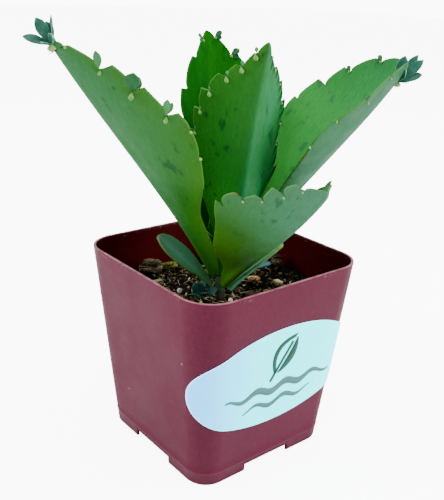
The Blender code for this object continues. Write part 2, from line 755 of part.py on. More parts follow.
def make_plantlet(name, place, direction, leaf_length, leaf_width, colour, spread):
    """A rooted or tip plantlet: a ring of fat leaves round a small round base."""
    core = bmesh.new()
    radius = leaf_width * PLANTLET_CORE_SHARE
    bmesh.ops.create_icosphere(core, subdivisions=2, radius=radius)
    bmesh.ops.translate(core, verts=core.verts, vec=Vector((radius, 0, 0)))
    bmesh.ops.transform(core, matrix=aim(place, direction), verts=core.verts)
    finish = material(name + "_skin", colour, 0.45)
    solids = [cutter_from(name + "_core", core)]
    for i in range(PLANTLET_LEAVES):
        turn = 2 * math.pi * i / PLANTLET_LEAVES
        lean = math.radians(spread * (0.74 + 0.24 * (i % 2) + 0.035 * i))
        blade = bmesh.new()
        lens(blade, leaf_length, leaf_width, leaf_width * PLANTLET_LEAF_THICKNESS_SHARE, steps=5)
        tilt = (
            aim(place, direction)
            @ Matrix.Translation((leaf_width * 0.35, 0, 0))
            @ Matrix.Rotation(turn, 4, "X")
            @ Matrix.Rotation(-lean, 4, "Y")
        )
        bmesh.ops.transform(blade, matrix=tilt, verts=blade.verts)
        bmesh.ops.recalc_face_normals(blade, faces=blade.faces)
        solids.append(cutter_from(f"{name}_blade_{i}", blade))
    made = union_of(name, solids, finish)
    made.hide_render = False
    made.display_type = "TEXTURED"
    return made


def make_tip_plantlets():
    """One plantlet behind each large leaf's tip, leaning out the way the leaf does."""
    for name, leaf_name, along, standoff, spread in (
        ("plantlet_left_tip", "leaf_left_large", 0.995, 1.12 * MM, 48),
        ("plantlet_right_tip", "leaf_right_large", 0.91, 2.6 * MM, 32),
    ):
        leaf = LEAVES[leaf_name]
        keel, _, _, up = keel_frame(leaf, np.array([along]))
        place = Vector(keel[0]) - Vector(up[0]) * (blade_thickness(along, 0.0) / 2 + standoff)
        heading = math.radians(leaf["heading"])
        lift = math.radians(TIP_PLANTLET_LEAN)
        direction = (
            math.cos(heading) * math.cos(lift), math.sin(heading) * math.cos(lift), math.sin(lift)
        )
        width = TIP_PLANTLET_WIDTH
        make_plantlet(name, place, direction, TIP_PLANTLET_LEAF, width, BLUE_GREEN, spread)


def make_soil_plantlets():
    for name, right, back in (
        ("plantlet_soil_left", -0.306, -0.069),
        ("plantlet_soil_right", 0.531, 0.187),
    ):
        x, y = right * mix_half_width(), back * mix_half_width()
        place = Vector((x, y, highest_soil(x, y, PLANTLET_SEAT_REACH) + SEAT_GAP))
        make_plantlet(
            name, place, (0, 0, 1), SOIL_PLANTLET_LEAF, SOIL_PLANTLET_WIDTH, DARK_GREEN,
            SOIL_PLANTLET_SPREAD,
        )


# ---------------------------------------------------------------- chips


def highest_soil(x, y, reach):
    top = 0.0
    for i in range(-3, 4):
        for j in range(-3, 4):
            top = max(top, soil_height(x + reach * i / 3, y + reach * j / 3))
    return top


def rest_on_soil(bm, x, y):
    """Lowers a chip until its lowest point clears the highest mix under it by SEAT_GAP."""
    lift = -1.0
    for vert in bm.verts:
        lift = max(lift, highest_soil(x + vert.co.x, y + vert.co.y, CHIP_SEAT_REACH) - vert.co.z)
    return lift + SEAT_GAP


def make_chips():
    for number, (name, size) in enumerate(CHIPS.items()):
        x, y = (share * mix_half_width() for share in size[:2])
        length, width, thickness = millimetres(*size[2:5])
        tilt, turn = deg(*size[5:])
        chance = random.Random(number)
        bm = bmesh.new()
        bmesh.ops.create_cube(bm, size=1.0)
        bmesh.ops.subdivide_edges(bm, edges=bm.edges, cuts=1, use_grid_fill=True)
        for vert in bm.verts:
            rounding = 1.0 - CHIP_ROUNDING * (vert.co.length * 2) ** 2 / 3
            jitter = Vector([chance.uniform(-1, 1) for _ in range(3)]) * CHIP_RAGGEDNESS
            vert.co = (vert.co * rounding) + jitter
        shape = Matrix.Rotation(turn, 4, "Z") @ Matrix.Rotation(tilt, 4, "Y")
        shape = shape @ Matrix.Diagonal((length, width, thickness, 1.0))
        bmesh.ops.transform(bm, matrix=shape, verts=bm.verts)
        bmesh.ops.translate(bm, verts=bm.verts, vec=Vector((x, y, rest_on_soil(bm, x, y))))
        from_bmesh(name, bm, material(name + "_bark", BARK_BROWN, 0.9))


def make_perlite():
    for number, (name, size) in enumerate(PERLITE.items()):
        x, y = (share * mix_half_width() for share in size[:2])
        diameter = size[2] * MM
        chance = random.Random(100 + number)
        bm = bmesh.new()
        bmesh.ops.create_icosphere(bm, subdivisions=1, radius=diameter / 2)
        for vert in bm.verts:
            vert.co *= chance.uniform(0.8, 1.0)
        bmesh.ops.translate(bm, verts=bm.verts, vec=Vector((x, y, rest_on_soil(bm, x, y))))
        from_bmesh(name, bm, material(name + "_grain", PERLITE_WHITE, 0.95))


# ---------------------------------------------------------------- whole plant


def stand_on_origin():
    """Shifts everything so that the outline's middle is over the origin."""
    bpy.context.view_layer.update()
    graph = bpy.context.evaluated_depsgraph_get()
    low = Vector((1e9, 1e9))
    high = Vector((-1e9, -1e9))
    for made in bpy.data.objects:
        if made.hide_render:
            continue
        for vert in made.evaluated_get(graph).data.vertices:
            low.x, low.y = min(low.x, vert.co.x), min(low.y, vert.co.y)
            high.x, high.y = max(high.x, vert.co.x), max(high.y, vert.co.y)
    middle = (low + high) / 2
    for made in bpy.data.objects:
        made.location = (-middle.x, -middle.y, 0.0)


def main():
    clear_scene()
    make_pot()
    make_label()
    make_soil()
    make_stem()
    for name, leaf in LEAVES.items():
        make_leaf(name, leaf)
    make_bulbils()
    make_tip_plantlets()
    make_soil_plantlets()
    make_chips()
    make_perlite()
    stand_on_origin()


main()
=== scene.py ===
import json
import math
import random

import bmesh
import bpy
import numpy as np
from mathutils import Matrix, Vector, noise

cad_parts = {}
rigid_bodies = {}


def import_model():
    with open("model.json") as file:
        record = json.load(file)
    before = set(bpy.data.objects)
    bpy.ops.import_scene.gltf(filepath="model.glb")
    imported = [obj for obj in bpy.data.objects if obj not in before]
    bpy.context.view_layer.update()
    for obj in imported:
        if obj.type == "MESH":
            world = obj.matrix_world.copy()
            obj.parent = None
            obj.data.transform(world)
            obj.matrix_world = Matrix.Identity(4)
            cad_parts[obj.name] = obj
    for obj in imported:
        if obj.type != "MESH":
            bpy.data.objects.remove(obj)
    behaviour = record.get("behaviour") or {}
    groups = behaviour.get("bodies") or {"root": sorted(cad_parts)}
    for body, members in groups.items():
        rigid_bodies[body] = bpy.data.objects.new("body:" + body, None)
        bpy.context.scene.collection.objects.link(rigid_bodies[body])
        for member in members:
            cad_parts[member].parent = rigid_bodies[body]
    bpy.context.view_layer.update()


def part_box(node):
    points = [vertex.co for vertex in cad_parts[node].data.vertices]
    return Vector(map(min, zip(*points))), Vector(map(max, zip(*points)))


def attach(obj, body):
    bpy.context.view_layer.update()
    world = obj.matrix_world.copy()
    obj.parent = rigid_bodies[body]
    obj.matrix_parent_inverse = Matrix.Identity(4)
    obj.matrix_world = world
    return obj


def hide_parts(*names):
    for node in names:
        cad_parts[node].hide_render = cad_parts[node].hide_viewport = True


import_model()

MM = 0.001

# The pot's own upright axis, about which everything is laid out
POT_LOW, POT_HIGH = (Vector(corner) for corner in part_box("pot"))
AXIS = Vector(((POT_LOW.x + POT_HIGH.x) / 2, (POT_LOW.y + POT_HIGH.y) / 2, 0.0))

# Pot
POT_TOP_WIDTH = 57.0 * MM
POT_BASE_WIDTH = 46.0 * MM
POT_HEIGHT = 56.2 * MM
POT_TOP_CORNER = 9.2 * MM
POT_BASE_CORNER = 6.3 * MM
POT_WALL = 0.8 * MM
FOOT_HEIGHT = 2.6 * MM
FOOT_NOTCH_WIDTH = 16.0 * MM
FLOOR_THICKNESS = 1.0 * MM
DRAIN_HOLE_RADIUS = 2.5 * MM
DRAIN_HOLE_SPACING = 24.0 * MM
BEAD_HEIGHT = 3.9 * MM
BEAD_PROUD = 0.09 * MM

# Label
LABEL_LENGTH = 58.0 * MM
LABEL_HEIGHT = 28.8 * MM
LABEL_MIDDLE_Z = 29.3 * MM
LABEL_LIFT = 0.2 * MM
LABEL_THICKNESS = 0.16 * MM

# Potting mix
SOIL_LEVEL = 43.6 * MM
SOIL_RISE_TO_SIDE = 3.4 * MM
SOIL_ROUGHNESS = 0.7 * MM
MIX_HALF_WIDTH = 26.17 * MM

# Stem
STEM_X = -2.0 * MM
STEM_Y = -2.0 * MM
STEM_BASE_RADIUS = 1.35 * MM
STEM_TIP_RADIUS = 0.85 * MM
STEM_TOP = 55.0 * MM

# Blades
KEEL_THICKNESS = 1.7 * MM
KEEL_RIDGE = 1.15 * MM
KEEL_RIDGE_WIDTH = 1.1 * MM
KEEL_GROOVE = 0.12 * MM
FLESH_TOWARDS_KEEL = 0.22 * MM
RIM_THICKNESS = 0.5 * MM
KEEL_ROUNDNESS = 0.15
BLADE_STATIONS = (0.0, 0.12, 0.28, 0.45, 0.62, 0.8, 0.92, 1.0)
NOTCH_DEPTH = 1.5 * MM
TOOTH_RISE = 0.7 * MM
CREST_BACK = 0.006
TOOTH_HOOK = 0.35 * MM
FULL_TOOTH_HALF_WIDTH = 9.0 * MM

# Each blade, in millimetres and degrees: height above the mix, heading and swing, slope at base,
# middle and tip, length, fold, twist and curl, half widths at BLADE_STATIONS, and where along it
# each margin is notched. Some also give how deep each notch is (left_depth, right_depth), how
# much wider one half is (more_left, more_right) and how much the margin ripples (wave, radians).
LEAVES = {
    "leaf_left_large": dict(
        height=7.4, heading=181, swing=0, rise=(60, 52, 55), length=77.6,
        fold=(26, 47), twist=(-13, 1), curl=-6, wave=0.10,
        half_widths=(1.4, 4.2, 6.6, 14.8, 18.2, 11.8, 4.6, 0.9),
        left=(0.42, 0.53, 0.625, 0.692, 0.792, 0.882, 0.98), right=(0.42, 0.55, 0.66, 0.77, 0.87),
        left_depth=(0.0, 0.25, 0.2, 1.4, 1.5, 1.5, 1.6), right_depth=(0.2, 0.5, 1, 1, 1),
        more_left=(0.8, 1.4, 0.4, 0, 0, 0, 1.0, 0),
    ),
    "leaf_right_large": dict(
        height=6.0, heading=325.5, swing=1, rise=(64, 50, 58), length=73.8,
        fold=(41, 50), twist=(-11, 18), curl=0, wave=0.08,
        half_widths=(1.4, 3.4, 4.4, 11.4, 18.7, 14.7, 8.3, 1.0),
        left=(0.42, 0.55, 0.66, 0.765, 0.86, 0.955), right=(0.45, 0.57, 0.69, 0.805, 0.92),
        left_depth=(0, 0, 0.5, 1, 0.9, 0.8), right_depth=(0, 0, 0.3, 0.4, 0.6),
        more_left=(0, 1.0, 2.6, 2.8, 1.0, 0, 0.8, 1.6),
    ),
    "leaf_front_upper": dict(
        height=8.0, heading=254, swing=1, rise=(66, 75, 70.5), length=65.8,
        fold=(43, 37), twist=(-11, 5), curl=5, wave=0.10,
        half_widths=(1.2, 4.0, 8.0, 13.8, 14.6, 12.0, 6.1, 1.0),
        left=(0.45, 0.55, 0.64, 0.73, 0.81, 0.88, 0.94),
        right=(0.50, 0.62, 0.71, 0.79, 0.855, 0.90, 0.955),
        more_left=(0, 0, 1.0, 1.2, 0.6, 0, -1.9, -0.7), more_right=(0, 0, 0, 0, 0.5, 0.4, -1.9, -0.7),
    ),
    "leaf_back_upper": dict(
        height=8.0, heading=65, swing=10, rise=(85, 77.5, 58.5), length=65.2,
        fold=(30, 25), twist=(2, 4), curl=2, wave=0.10,
        half_widths=(1.2, 4.4, 9.0, 12.4, 13.3, 9.9, 4.9, 1.0),
        left=(0.50, 0.62, 0.74, 0.87, 0.95), right=(0.50, 0.63, 0.76, 0.88, 0.965),
        more_left=(0, 0, 0, 0, 0, 0, -0.9, -0.6), more_right=(0, 0, 0, 0, 0, 0, -0.5, -0.6),
    ),
    "leaf_front_lower": dict(
        height=4.6, heading=263.5, swing=-1, rise=(45, 40, 51.5), length=54.0,
        fold=(38, 47), twist=(-4, -2), curl=0, wave=0.12,
        half_widths=(1.4, 3.4, 10.6, 14.8, 18.2, 11.0, 7.5, 1.5),
        left=(0.55, 0.68, 0.80, 0.91), right=(0.60, 0.71, 0.78, 0.87, 0.95),
        left_depth=(1, 1.2, 1.4, 1.4), right_depth=(1.2, 1.3, 1.2, 1.6, 1.6),
    ),
    "leaf_back_lower": dict(
        height=4.6, heading=72, swing=0, rise=(52, 47, 56), length=38.0,
        fold=(36, 40), twist=(0, 0), curl=0,
        half_widths=(1.4, 3.0, 6.0, 9.0, 10.0, 7.2, 4.0, 1.2),
        left=(0.55, 0.70, 0.85), right=(0.55, 0.70, 0.85),
    ),
    "leaf_left_small": dict(
        height=3.0, heading=147, swing=-1, rise=(52, 42, 47), length=21.2,
        fold=(20, 10), twist=(-15, -13), curl=-12,
        half_widths=(1.2, 2.2, 3.1, 4.6, 5.2, 4.7, 3.2, 1.3), left=(), right=(),
    ),
    "leaf_right_small": dict(
        height=2.4, heading=330, swing=0, rise=(46, 40, 40), length=19.8,
        fold=(26, 18), twist=(0, 0), curl=-4,
        half_widths=(1.2, 2.0, 3.0, 4.3, 4.9, 4.2, 2.9, 1.2), left=(), right=(),
    ),
}

# Bulbils in the notches: leaf, side of the keel, notch counted from the base, how the bud
# sits, size of the bud, size and breadth of its own first leaf pair, lean to the tip, paleness
BULBILS = (
    ("leaf_left_large", 1, 3, "hangs", 0.80, 4.0, 0.50, 0.1, 0.75),
    ("leaf_left_large", 1, 4, "hangs", 0.95, 4.2, 0.95, 0.0, 0.1),
    ("leaf_left_large", 1, 5, "hangs", 0.60, 4.4, 0.40, 0.9, 0.6),
    ("leaf_left_large", -1, 3, "stands", 0.6, 2.4, 0.8, 0.2, 0.3),
    ("leaf_right_large", 1, 4, "stands", 0.6, 1.6, 0.8, 0.2, 0.3),
    ("leaf_right_large", 1, 5, "stands", 0.65, 1.8, 0.8, 0.2, 0.3),
    ("leaf_right_large", -1, 3, "hangs", 0.6, 1.6, 0.8, 0.2, 0.3),
    ("leaf_front_upper", -1, 1, "hangs", 0.65, 1.0, 0.7, 0.3, 1.0),
    ("leaf_front_upper", -1, 2, "hangs", 0.70, 1.1, 0.7, 0.3, 1.0),
    ("leaf_front_upper", -1, 3, "hangs", 0.80, 1.2, 0.7, 0.3, 1.0),
    ("leaf_front_upper", -1, 4, "hangs", 0.85, 1.2, 0.7, 0.3, 1.0),
    ("leaf_front_upper", -1, 5, "hangs", 0.90, 1.3, 0.7, 0.3, 1.0),
    ("leaf_front_upper", -1, 6, "hangs", 0.90, 1.4, 0.7, 0.3, 1.0),
    ("leaf_back_upper", 1, 4, "stands", 0.7, 2.2, 0.8, 0.3, 0.2),
    ("leaf_back_upper", -1, 3, "stands", 0.7, 2.8, 0.8, 0.2, 0.0),
    ("leaf_back_upper", -1, 4, "stands", 0.7, 2.4, 0.8, 0.2, 0.0),
)

# Chips on the mix: length, width, thickness, tilt, turn, number of layers
CHIPS = {
    "bark_chip_back_large": (9.4, 5.0, 3.4, 20, 35, 4),
    "bark_chip_back_curled": (6.4, 2.4, 1.4, 16, 110, 2),
    "bark_chip_back_pale": (5.0, 2.0, 1.0, 8, 20, 2),
    "bark_chip_back_left": (5.4, 2.8, 1.4, 12, 50, 2),
    "bark_chip_middle_orange": (5.2, 2.8, 1.5, 22, 60, 3),
    "bark_chip_middle_dark": (5.0, 2.2, 1.3, 10, 10, 2),
    "bark_chip_side_clump": (5.2, 3.0, 2.6, 14, 30, 4),
    "bark_chip_side_tan": (4.2, 1.8, 1.0, 10, 75, 2),
    "bark_chip_hidden_right": (5.0, 3.0, 1.8, 4, 15, 2),
    "bark_chip_hidden_front": (5.4, 3.2, 1.8, 5, 40, 2),
    "leaf_scrap_dry": (6.4, 2.6, 0.8, 30, 100, 1),
}


# ---------------------------------------------------------------- making pieces


def closed_piece(name, points, faces, finish, nodes=(), values=None):
    """One piece from points about the pot's axis, with its faces turned outwards."""
    shape = bpy.data.meshes.new(name)
    shape.from_pydata([tuple(Vector(p) + AXIS) for p in points], [], [tuple(f) for f in faces])
    for key, numbers in (values or {}).items():
        layer = shape.attributes.new(key, "FLOAT", "POINT")
        layer.data.foreach_set("value", np.asarray(numbers, dtype=np.float32))
    return finished(name, shape, finish, nodes)


def finished(name, shape, finish, nodes=(), sharp=None):
    """Turns the faces outwards, gives the finish, and says what the piece rides on and replaces."""
    bm = bmesh.new()
    bm.from_mesh(shape)
    bmesh.ops.recalc_face_normals(bm, faces=bm.faces)
    for face in bm.faces:
        face.smooth = True
    if sharp is not None:
        limit = math.radians(sharp)
        for edge in bm.edges:
            edge.smooth = edge.calc_face_angle(0.0) < limit
    bm.to_mesh(shape)
    bm.free()
    shape.materials.clear()
    shape.materials.append(finish)
    made = bpy.data.objects.new(name, shape)
    bpy.context.scene.collection.objects.link(made)
    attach(made, "root")
    if nodes:
        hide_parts(*nodes)
    return made


class Clay:
    """Gathers the points and faces of several small forms into one piece."""

    def __init__(self):
        self.points = []
        self.faces = []
        self.values = {}

    def add(self, points, faces, **values):
        first = len(self.points)
        self.points += [Vector(p) for p in points]
        self.faces += [tuple(first + k for k in face) for face in faces]
        for key in set(self.values) | set(values):
            column = self.values.setdefault(key, [0.0] * first)
            given = values.get(key, 0.0)
            column.extend(given if hasattr(given, "__len__") else [given] * len(points))

    def piece(self, name, finish, nodes=()):
        return closed_piece(name, self.points, self.faces, finish, nodes, self.values)


def ring_faces(rows, around, first=0):
    """Four-sided faces between neighbouring rings of points."""
    faces = []
    for i in range(rows - 1):
        for j in range(around):
            k = (j + 1) % around
            a = first + i * around
            b = a + around
            faces.append((a + j, a + k, b + k, b + j))
    return faces


def capped_rings(rings):
    """Points and faces of a closed form through rings, with a middle point at each end."""
    rows, around = len(rings), len(rings[0])
    points = [Vector(p) for ring in rings for p in ring]
    faces = ring_faces(rows, around)
    for row in (0, rows - 1):
        middle = sum((Vector(p) for p in rings[row]), Vector()) / around
        points.append(middle)
        tip = len(points) - 1
        start = row * around
        faces += [(start + j, start + (j + 1) % around, tip) for j in range(around)]
    return points, faces


def aim(place, direction):
    """Matrix that stands at a place with its X axis along a direction."""
    turn = Vector(direction).to_track_quat("X", "Z").to_matrix().to_4x4()
    return Matrix.Translation(place) @ turn


# ---------------------------------------------------------------- finishes


class Finish:
    """A material whose pattern is built up step by step."""

    def __init__(self, name, roughness=0.5, specular=0.3):
        self.material = bpy.data.materials.new(name)
        self.material.use_nodes = True
        self.tree = self.material.node_tree
        self.shader = self.tree.nodes["Principled BSDF"]
        self.shader.inputs["Roughness"].default_value = roughness
        self.shader.inputs["Specular IOR Level"].default_value = specular

    def put(self, socket, value):
        if isinstance(value, bpy.types.NodeSocket):
            self.tree.links.new(value, socket)
        elif isinstance(value, tuple) and len(value) == 3 and socket.type == "RGBA":
            socket.default_value = (*value, 1.0)
        else:
            socket.default_value = value

    def node(self, kind, **inputs):
        made = self.tree.nodes.new(kind)
        for key, value in inputs.items():
            self.put(made.inputs[key], value)
        return made

    def attribute(self, name):
        made = self.tree.nodes.new("ShaderNodeAttribute")
        made.attribute_name = name
        return made.outputs["Fac"]

    def place(self):
        return self.node("ShaderNodeTexCoord").outputs["Object"]

    def math(self, operation, a, b=0.0, clamp=False):
        made = self.tree.nodes.new("ShaderNodeMath")
        made.operation = operation
        made.use_clamp = clamp
        self.put(made.inputs[0], a)
        self.put(made.inputs[1], b)
        return made.outputs[0]

    def vector(self, x, y, z):
        return self.node("ShaderNodeCombineXYZ", X=x, Y=y, Z=z).outputs[0]

    def stretched(self, vector, scale, turn=(0.0, 0.0, 0.0)):
        return self.node(
            "ShaderNodeMapping", Vector=vector, Scale=tuple(scale), Rotation=tuple(turn)
        ).outputs[0]

    def clouds(self, vector, scale, detail=3.0, roughness=0.55):
        return self.node(
            "ShaderNodeTexNoise", Vector=vector, Scale=scale, Detail=detail, Roughness=roughness
        ).outputs["Fac"]

    def cells(self, vector, scale):
        return self.node("ShaderNodeTexVoronoi", Vector=vector, Scale=scale).outputs["Distance"]

    def between(self, value, low, high, start=0.0, end=1.0):
        made = self.tree.nodes.new("ShaderNodeMapRange")
        made.interpolation_type = "SMOOTHSTEP"
        for socket, number in zip(made.inputs[1:5], (low, high, start, end)):
            socket.default_value = number
        self.put(made.inputs[0], value)
        return made.outputs[0]

    def ramp(self, value, stops):
        made = self.tree.nodes.new("ShaderNodeValToRGB")
        marks = made.color_ramp.elements
        while len(marks) < len(stops):
            marks.new(0.5)
        for mark, (where, colour) in zip(marks, stops):
            mark.position = where
            mark.color = (*colour, 1.0)
        self.put(made.inputs[0], value)
        return made.outputs[0]

    def over(self, share, under, top, how="MIX"):
        made = self.tree.nodes.new("ShaderNodeMix")
        made.data_type = "RGBA"
        made.blend_type = how
        self.put(made.inputs[0], share)
        self.put(made.inputs[6], under)
        self.put(made.inputs[7], top)
        return made.outputs[2]

    def colour(self, value):
        self.put(self.shader.inputs["Base Color"], value)

    def rough(self, value):
        self.put(self.shader.inputs["Roughness"], value)

    def relief(self, height, depth, strength=1.0):
        bump = self.node("ShaderNodeBump", Height=height)
        bump.inputs["Distance"].default_value = depth
        bump.inputs["Strength"].default_value = strength
        self.put(self.shader.inputs["Normal"], bump.outputs[0])


def blade_finish(name, under, upper, bloom, bloom_and_sheen_share, blotch, blotch_share, rim,
                 painted_shading_half=None, specular=0.07, warm=0.2, margin_pleat_shade=None):
    """Leaf skin: greens along the blade, waxy bloom by the keel that also carries a painted sheen, dark
    blotches, a thin pale rim.

    painted_shading_half is the side, colour and share of a half given painted light and shade (a painted
    sheen on the front blade, painted shade on the back blade); margin_pleat_shade is the side, spacing in
    millimetres and depth of slanting bands of painted shade along one margin, standing for the shade between
    its pleats.
    """
    f = Finish(name, 0.5, specular)
    along, across = f.attribute("along"), f.attribute("across")
    edge, below = f.attribute("edge"), f.attribute("below")
    run, out = f.attribute("run"), f.attribute("out")
    sheet = f.vector(run, out, below)
    drift = f.clouds(sheet, 0.09, 3.0)
    wander = f.math("ADD", along, f.math("MULTIPLY", f.math("SUBTRACT", drift, 0.5), 0.16))
    skin = f.over(below, f.ramp(wander, upper), f.ramp(wander, under))
    # Painted light and shade: one half's colour is shifted as if that half were lit or shaded differently.
    if painted_shading_half:
        shading_side, shading_colour, shading_share = painted_shading_half
        towards = f.between(f.math("MULTIPLY", across, shading_side), -0.10, 0.05)
        fleck = f.between(f.clouds(f.stretched(sheet, (0.35, 1.0, 1.0)), 0.35, 3.0), 0.3, 0.7, 0.5, 1.0)
        half_shading = f.math("MULTIPLY", f.math("MULTIPLY", towards, fleck), shading_share)
        skin = f.over(half_shading, skin, shading_colour)
    from_keel = f.math("ABSOLUTE", across)
    near_keel = f.between(from_keel, 0.55, 0.02)
    frost = f.clouds(sheet, 0.22, 4.0)
    # Pale bloom near the keel: partly the wax's own colour, partly a painted sheen standing for reflection
    # on the keel.
    keel_bloom_and_sheen = f.math("MULTIPLY", f.between(frost, 0.25, 0.75, 0.35, 1.0), near_keel)
    tipwards = f.between(along, 0.12, 0.4)
    skin = f.over(f.math("MULTIPLY", f.math("MULTIPLY", keel_bloom_and_sheen, tipwards), bloom_and_sheen_share), skin, bloom)
    spots = f.clouds(f.stretched(sheet, (0.5, 1.0, 1.0)), 0.42, 2.0, 0.5)
    zone = f.math("MULTIPLY", f.between(from_keel, 0.12, 0.35), f.between(along, 0.22, 0.4))
    dark = f.math("MULTIPLY", f.between(spots, 0.60, 0.70), zone)
    skin = f.over(f.math("MULTIPLY", dark, blotch_share), skin, blotch)
    veins = f.clouds(f.vector(f.math("MULTIPLY", run, 0.25), f.math("MULTIPLY", out, 1.0), 3.0), 1.6, 3.0)
    skin = f.over(0.16, skin, f.ramp(veins, ((0.3, (0.55, 0.6, 0.5)), (0.7, (1.6, 1.5, 1.5)))), "MULTIPLY")
    speck = f.clouds(f.place(), 2600.0, 2.0, 0.6)
    skin = f.over(0.12, skin, f.ramp(speck, ((0.3, (0.5, 0.55, 0.5)), (0.7, (1.5, 1.5, 1.5)))), "MULTIPLY")
    outer = f.math("MULTIPLY", f.between(from_keel, 0.45, 0.95), f.between(drift, 0.3, 0.6, 0.5, 1.0))
    skin = f.over(f.math("MULTIPLY", outer, warm), skin, (0.030, 0.140, 0.004))
    # Painted shade: dark slanting bands near one margin stand for the shade between its pleated teeth.
    if margin_pleat_shade:
        side, period, depth = margin_pleat_shade
        slant = f.math("SUBTRACT", run, f.math("MULTIPLY", out, side * 0.8))
        wave = f.math("SINE", f.math("MULTIPLY", slant, 6.28 / period))
        on_side = f.between(f.math("MULTIPLY", across, side), 0.1, 0.3)
        margin = f.math("MULTIPLY", f.between(edge, 4.4, 1.0), on_side)
        pleat_shade = f.math("MULTIPLY", f.between(wave, -0.4, 0.5), margin)
        skin = f.over(f.math("MULTIPLY", pleat_shade, depth), skin, blotch)
    thin_rim = f.between(edge, 0.36, 0.10)
    skin = f.over(f.math("MULTIPLY", thin_rim, 0.4), skin, rim)
    reddened = f.between(f.clouds(f.place(), 260.0, 2.0), 0.58, 0.72)
    red = f.math("MULTIPLY", f.between(edge, 0.7, 0.15), reddened)
    skin = f.over(f.math("MULTIPLY", red, 0.55), skin, (0.20, 0.07, 0.02))
    f.colour(skin)
    f.rough(f.between(frost, 0.2, 0.8, 0.40, 0.62))
    bumps = f.math("ADD", f.math("MULTIPLY", veins, 0.7), f.math("MULTIPLY", speck, 0.3))
    f.relief(bumps, 0.00018, 0.5)
    return f.material


# ---------------------------------------------------------------- potting mix and stem


def soil_height(x, y):
    """Height of the potting mix: higher towards the +X wall, and lumpy."""
    side = max(x / (POT_TOP_WIDTH / 2), 0.0)
    lump = noise.noise(Vector((x, y, 0.0)) * 160.0)
    lump += 0.5 * noise.noise(Vector((y, x, 0.1)) * 330.0)
    return SOIL_LEVEL + SOIL_RISE_TO_SIDE * side * side + SOIL_ROUGHNESS * lump


def crumbly_height(x, y):
    """Height of the mix's own crumbly skin, under the loose grains."""
    place = Vector((x, y, 0.0))
    rough = noise.fractal(place * 900.0, 0.9, 2.1, 4)
    return soil_height(x, y) - 0.9 * MM + 0.75 * MM * rough


def pot_half_width(z):
    """Half the pot's outside width at height z."""
    return (POT_BASE_WIDTH + (POT_TOP_WIDTH - POT_BASE_WIDTH) * z / POT_HEIGHT) / 2


def pot_corner(z):
    """Radius of the pot's outside corners at height z."""
    return POT_BASE_CORNER + (POT_TOP_CORNER - POT_BASE_CORNER) * z / POT_HEIGHT


def rounded_square(z, inset, corner_steps, side_steps):
    """Points round the pot's outline at height z, moved inwards by inset."""
    half = pot_half_width(z) - inset
    radius = max(pot_corner(z) - inset, 0.5 * MM)
    points = []
    for quarter in range(4):
        turn = Matrix.Rotation(quarter * math.pi / 2, 2)
        centre = Vector((half - radius, half - radius))
        for step in range(corner_steps + 1):
            angle = step / corner_steps * math.pi / 2
            corner = turn @ (centre + radius * Vector((math.cos(angle), math.sin(angle))))
            points.append(Vector((corner.x, corner.y, z)))
        for step in range(1, side_steps):
            share = step / side_steps
            flat = turn @ Vector(((half - radius) * (1 - 2 * share), half))
            points.append(Vector((flat.x, flat.y, z)))
    return points


def make_soil():
    """The bed of potting mix, from just over the floor to its crumbly top."""
    inset = POT_WALL + 0.25 * MM
    bottom = FOOT_HEIGHT + FLOOR_THICKNESS + 0.3 * MM
    outline = rounded_square(SOIL_LEVEL, inset, 14, 30)
    rings = [rounded_square(bottom, inset, 14, 30)]
    rings.append([Vector((p.x, p.y, SOIL_LEVEL - 2.5 * MM)) for p in outline])
    for ring in range(46):
        share = 1.0 - ring / 46.0
        flat = [(p.x * share, p.y * share) for p in outline]
        rings.append([Vector((x, y, crumbly_height(x, y))) for x, y in flat])
    points, faces = capped_rings(rings)
    return closed_piece("potting_mix_bed", points, faces, MIX, ("soil",))


def top_bed(inset):
    """A sheet over the mix, on which loose grains are strewn; it is thrown away afterwards."""
    half = MIX_HALF_WIDTH - inset
    corner = 7.0 * MM
    count = 60
    points, faces = [], []
    index = {}
    for i in range(count + 1):
        for j in range(count + 1):
            x = (2 * i / count - 1) * half
            y = (2 * j / count - 1) * half
            over_x, over_y = abs(x) - (half - corner), abs(y) - (half - corner)
            if over_x > 0 and over_y > 0 and math.hypot(over_x, over_y) > corner:
                continue
            index[i, j] = len(points)
            points.append((x, y, crumbly_height(x, y) - 0.1 * MM))
    for i in range(count):
        for j in range(count):
            corners = [(i, j), (i + 1, j), (i + 1, j + 1), (i, j + 1)]
            if all(corner in index for corner in corners):
                faces.append([index[corner] for corner in corners])
    sheet = bpy.data.meshes.new("bed")
    sheet.from_pydata([tuple(Vector(p) + AXIS) for p in points], [], faces)
    made = bpy.data.objects.new("bed", sheet)
    bpy.context.scene.collection.objects.link(made)
    return made


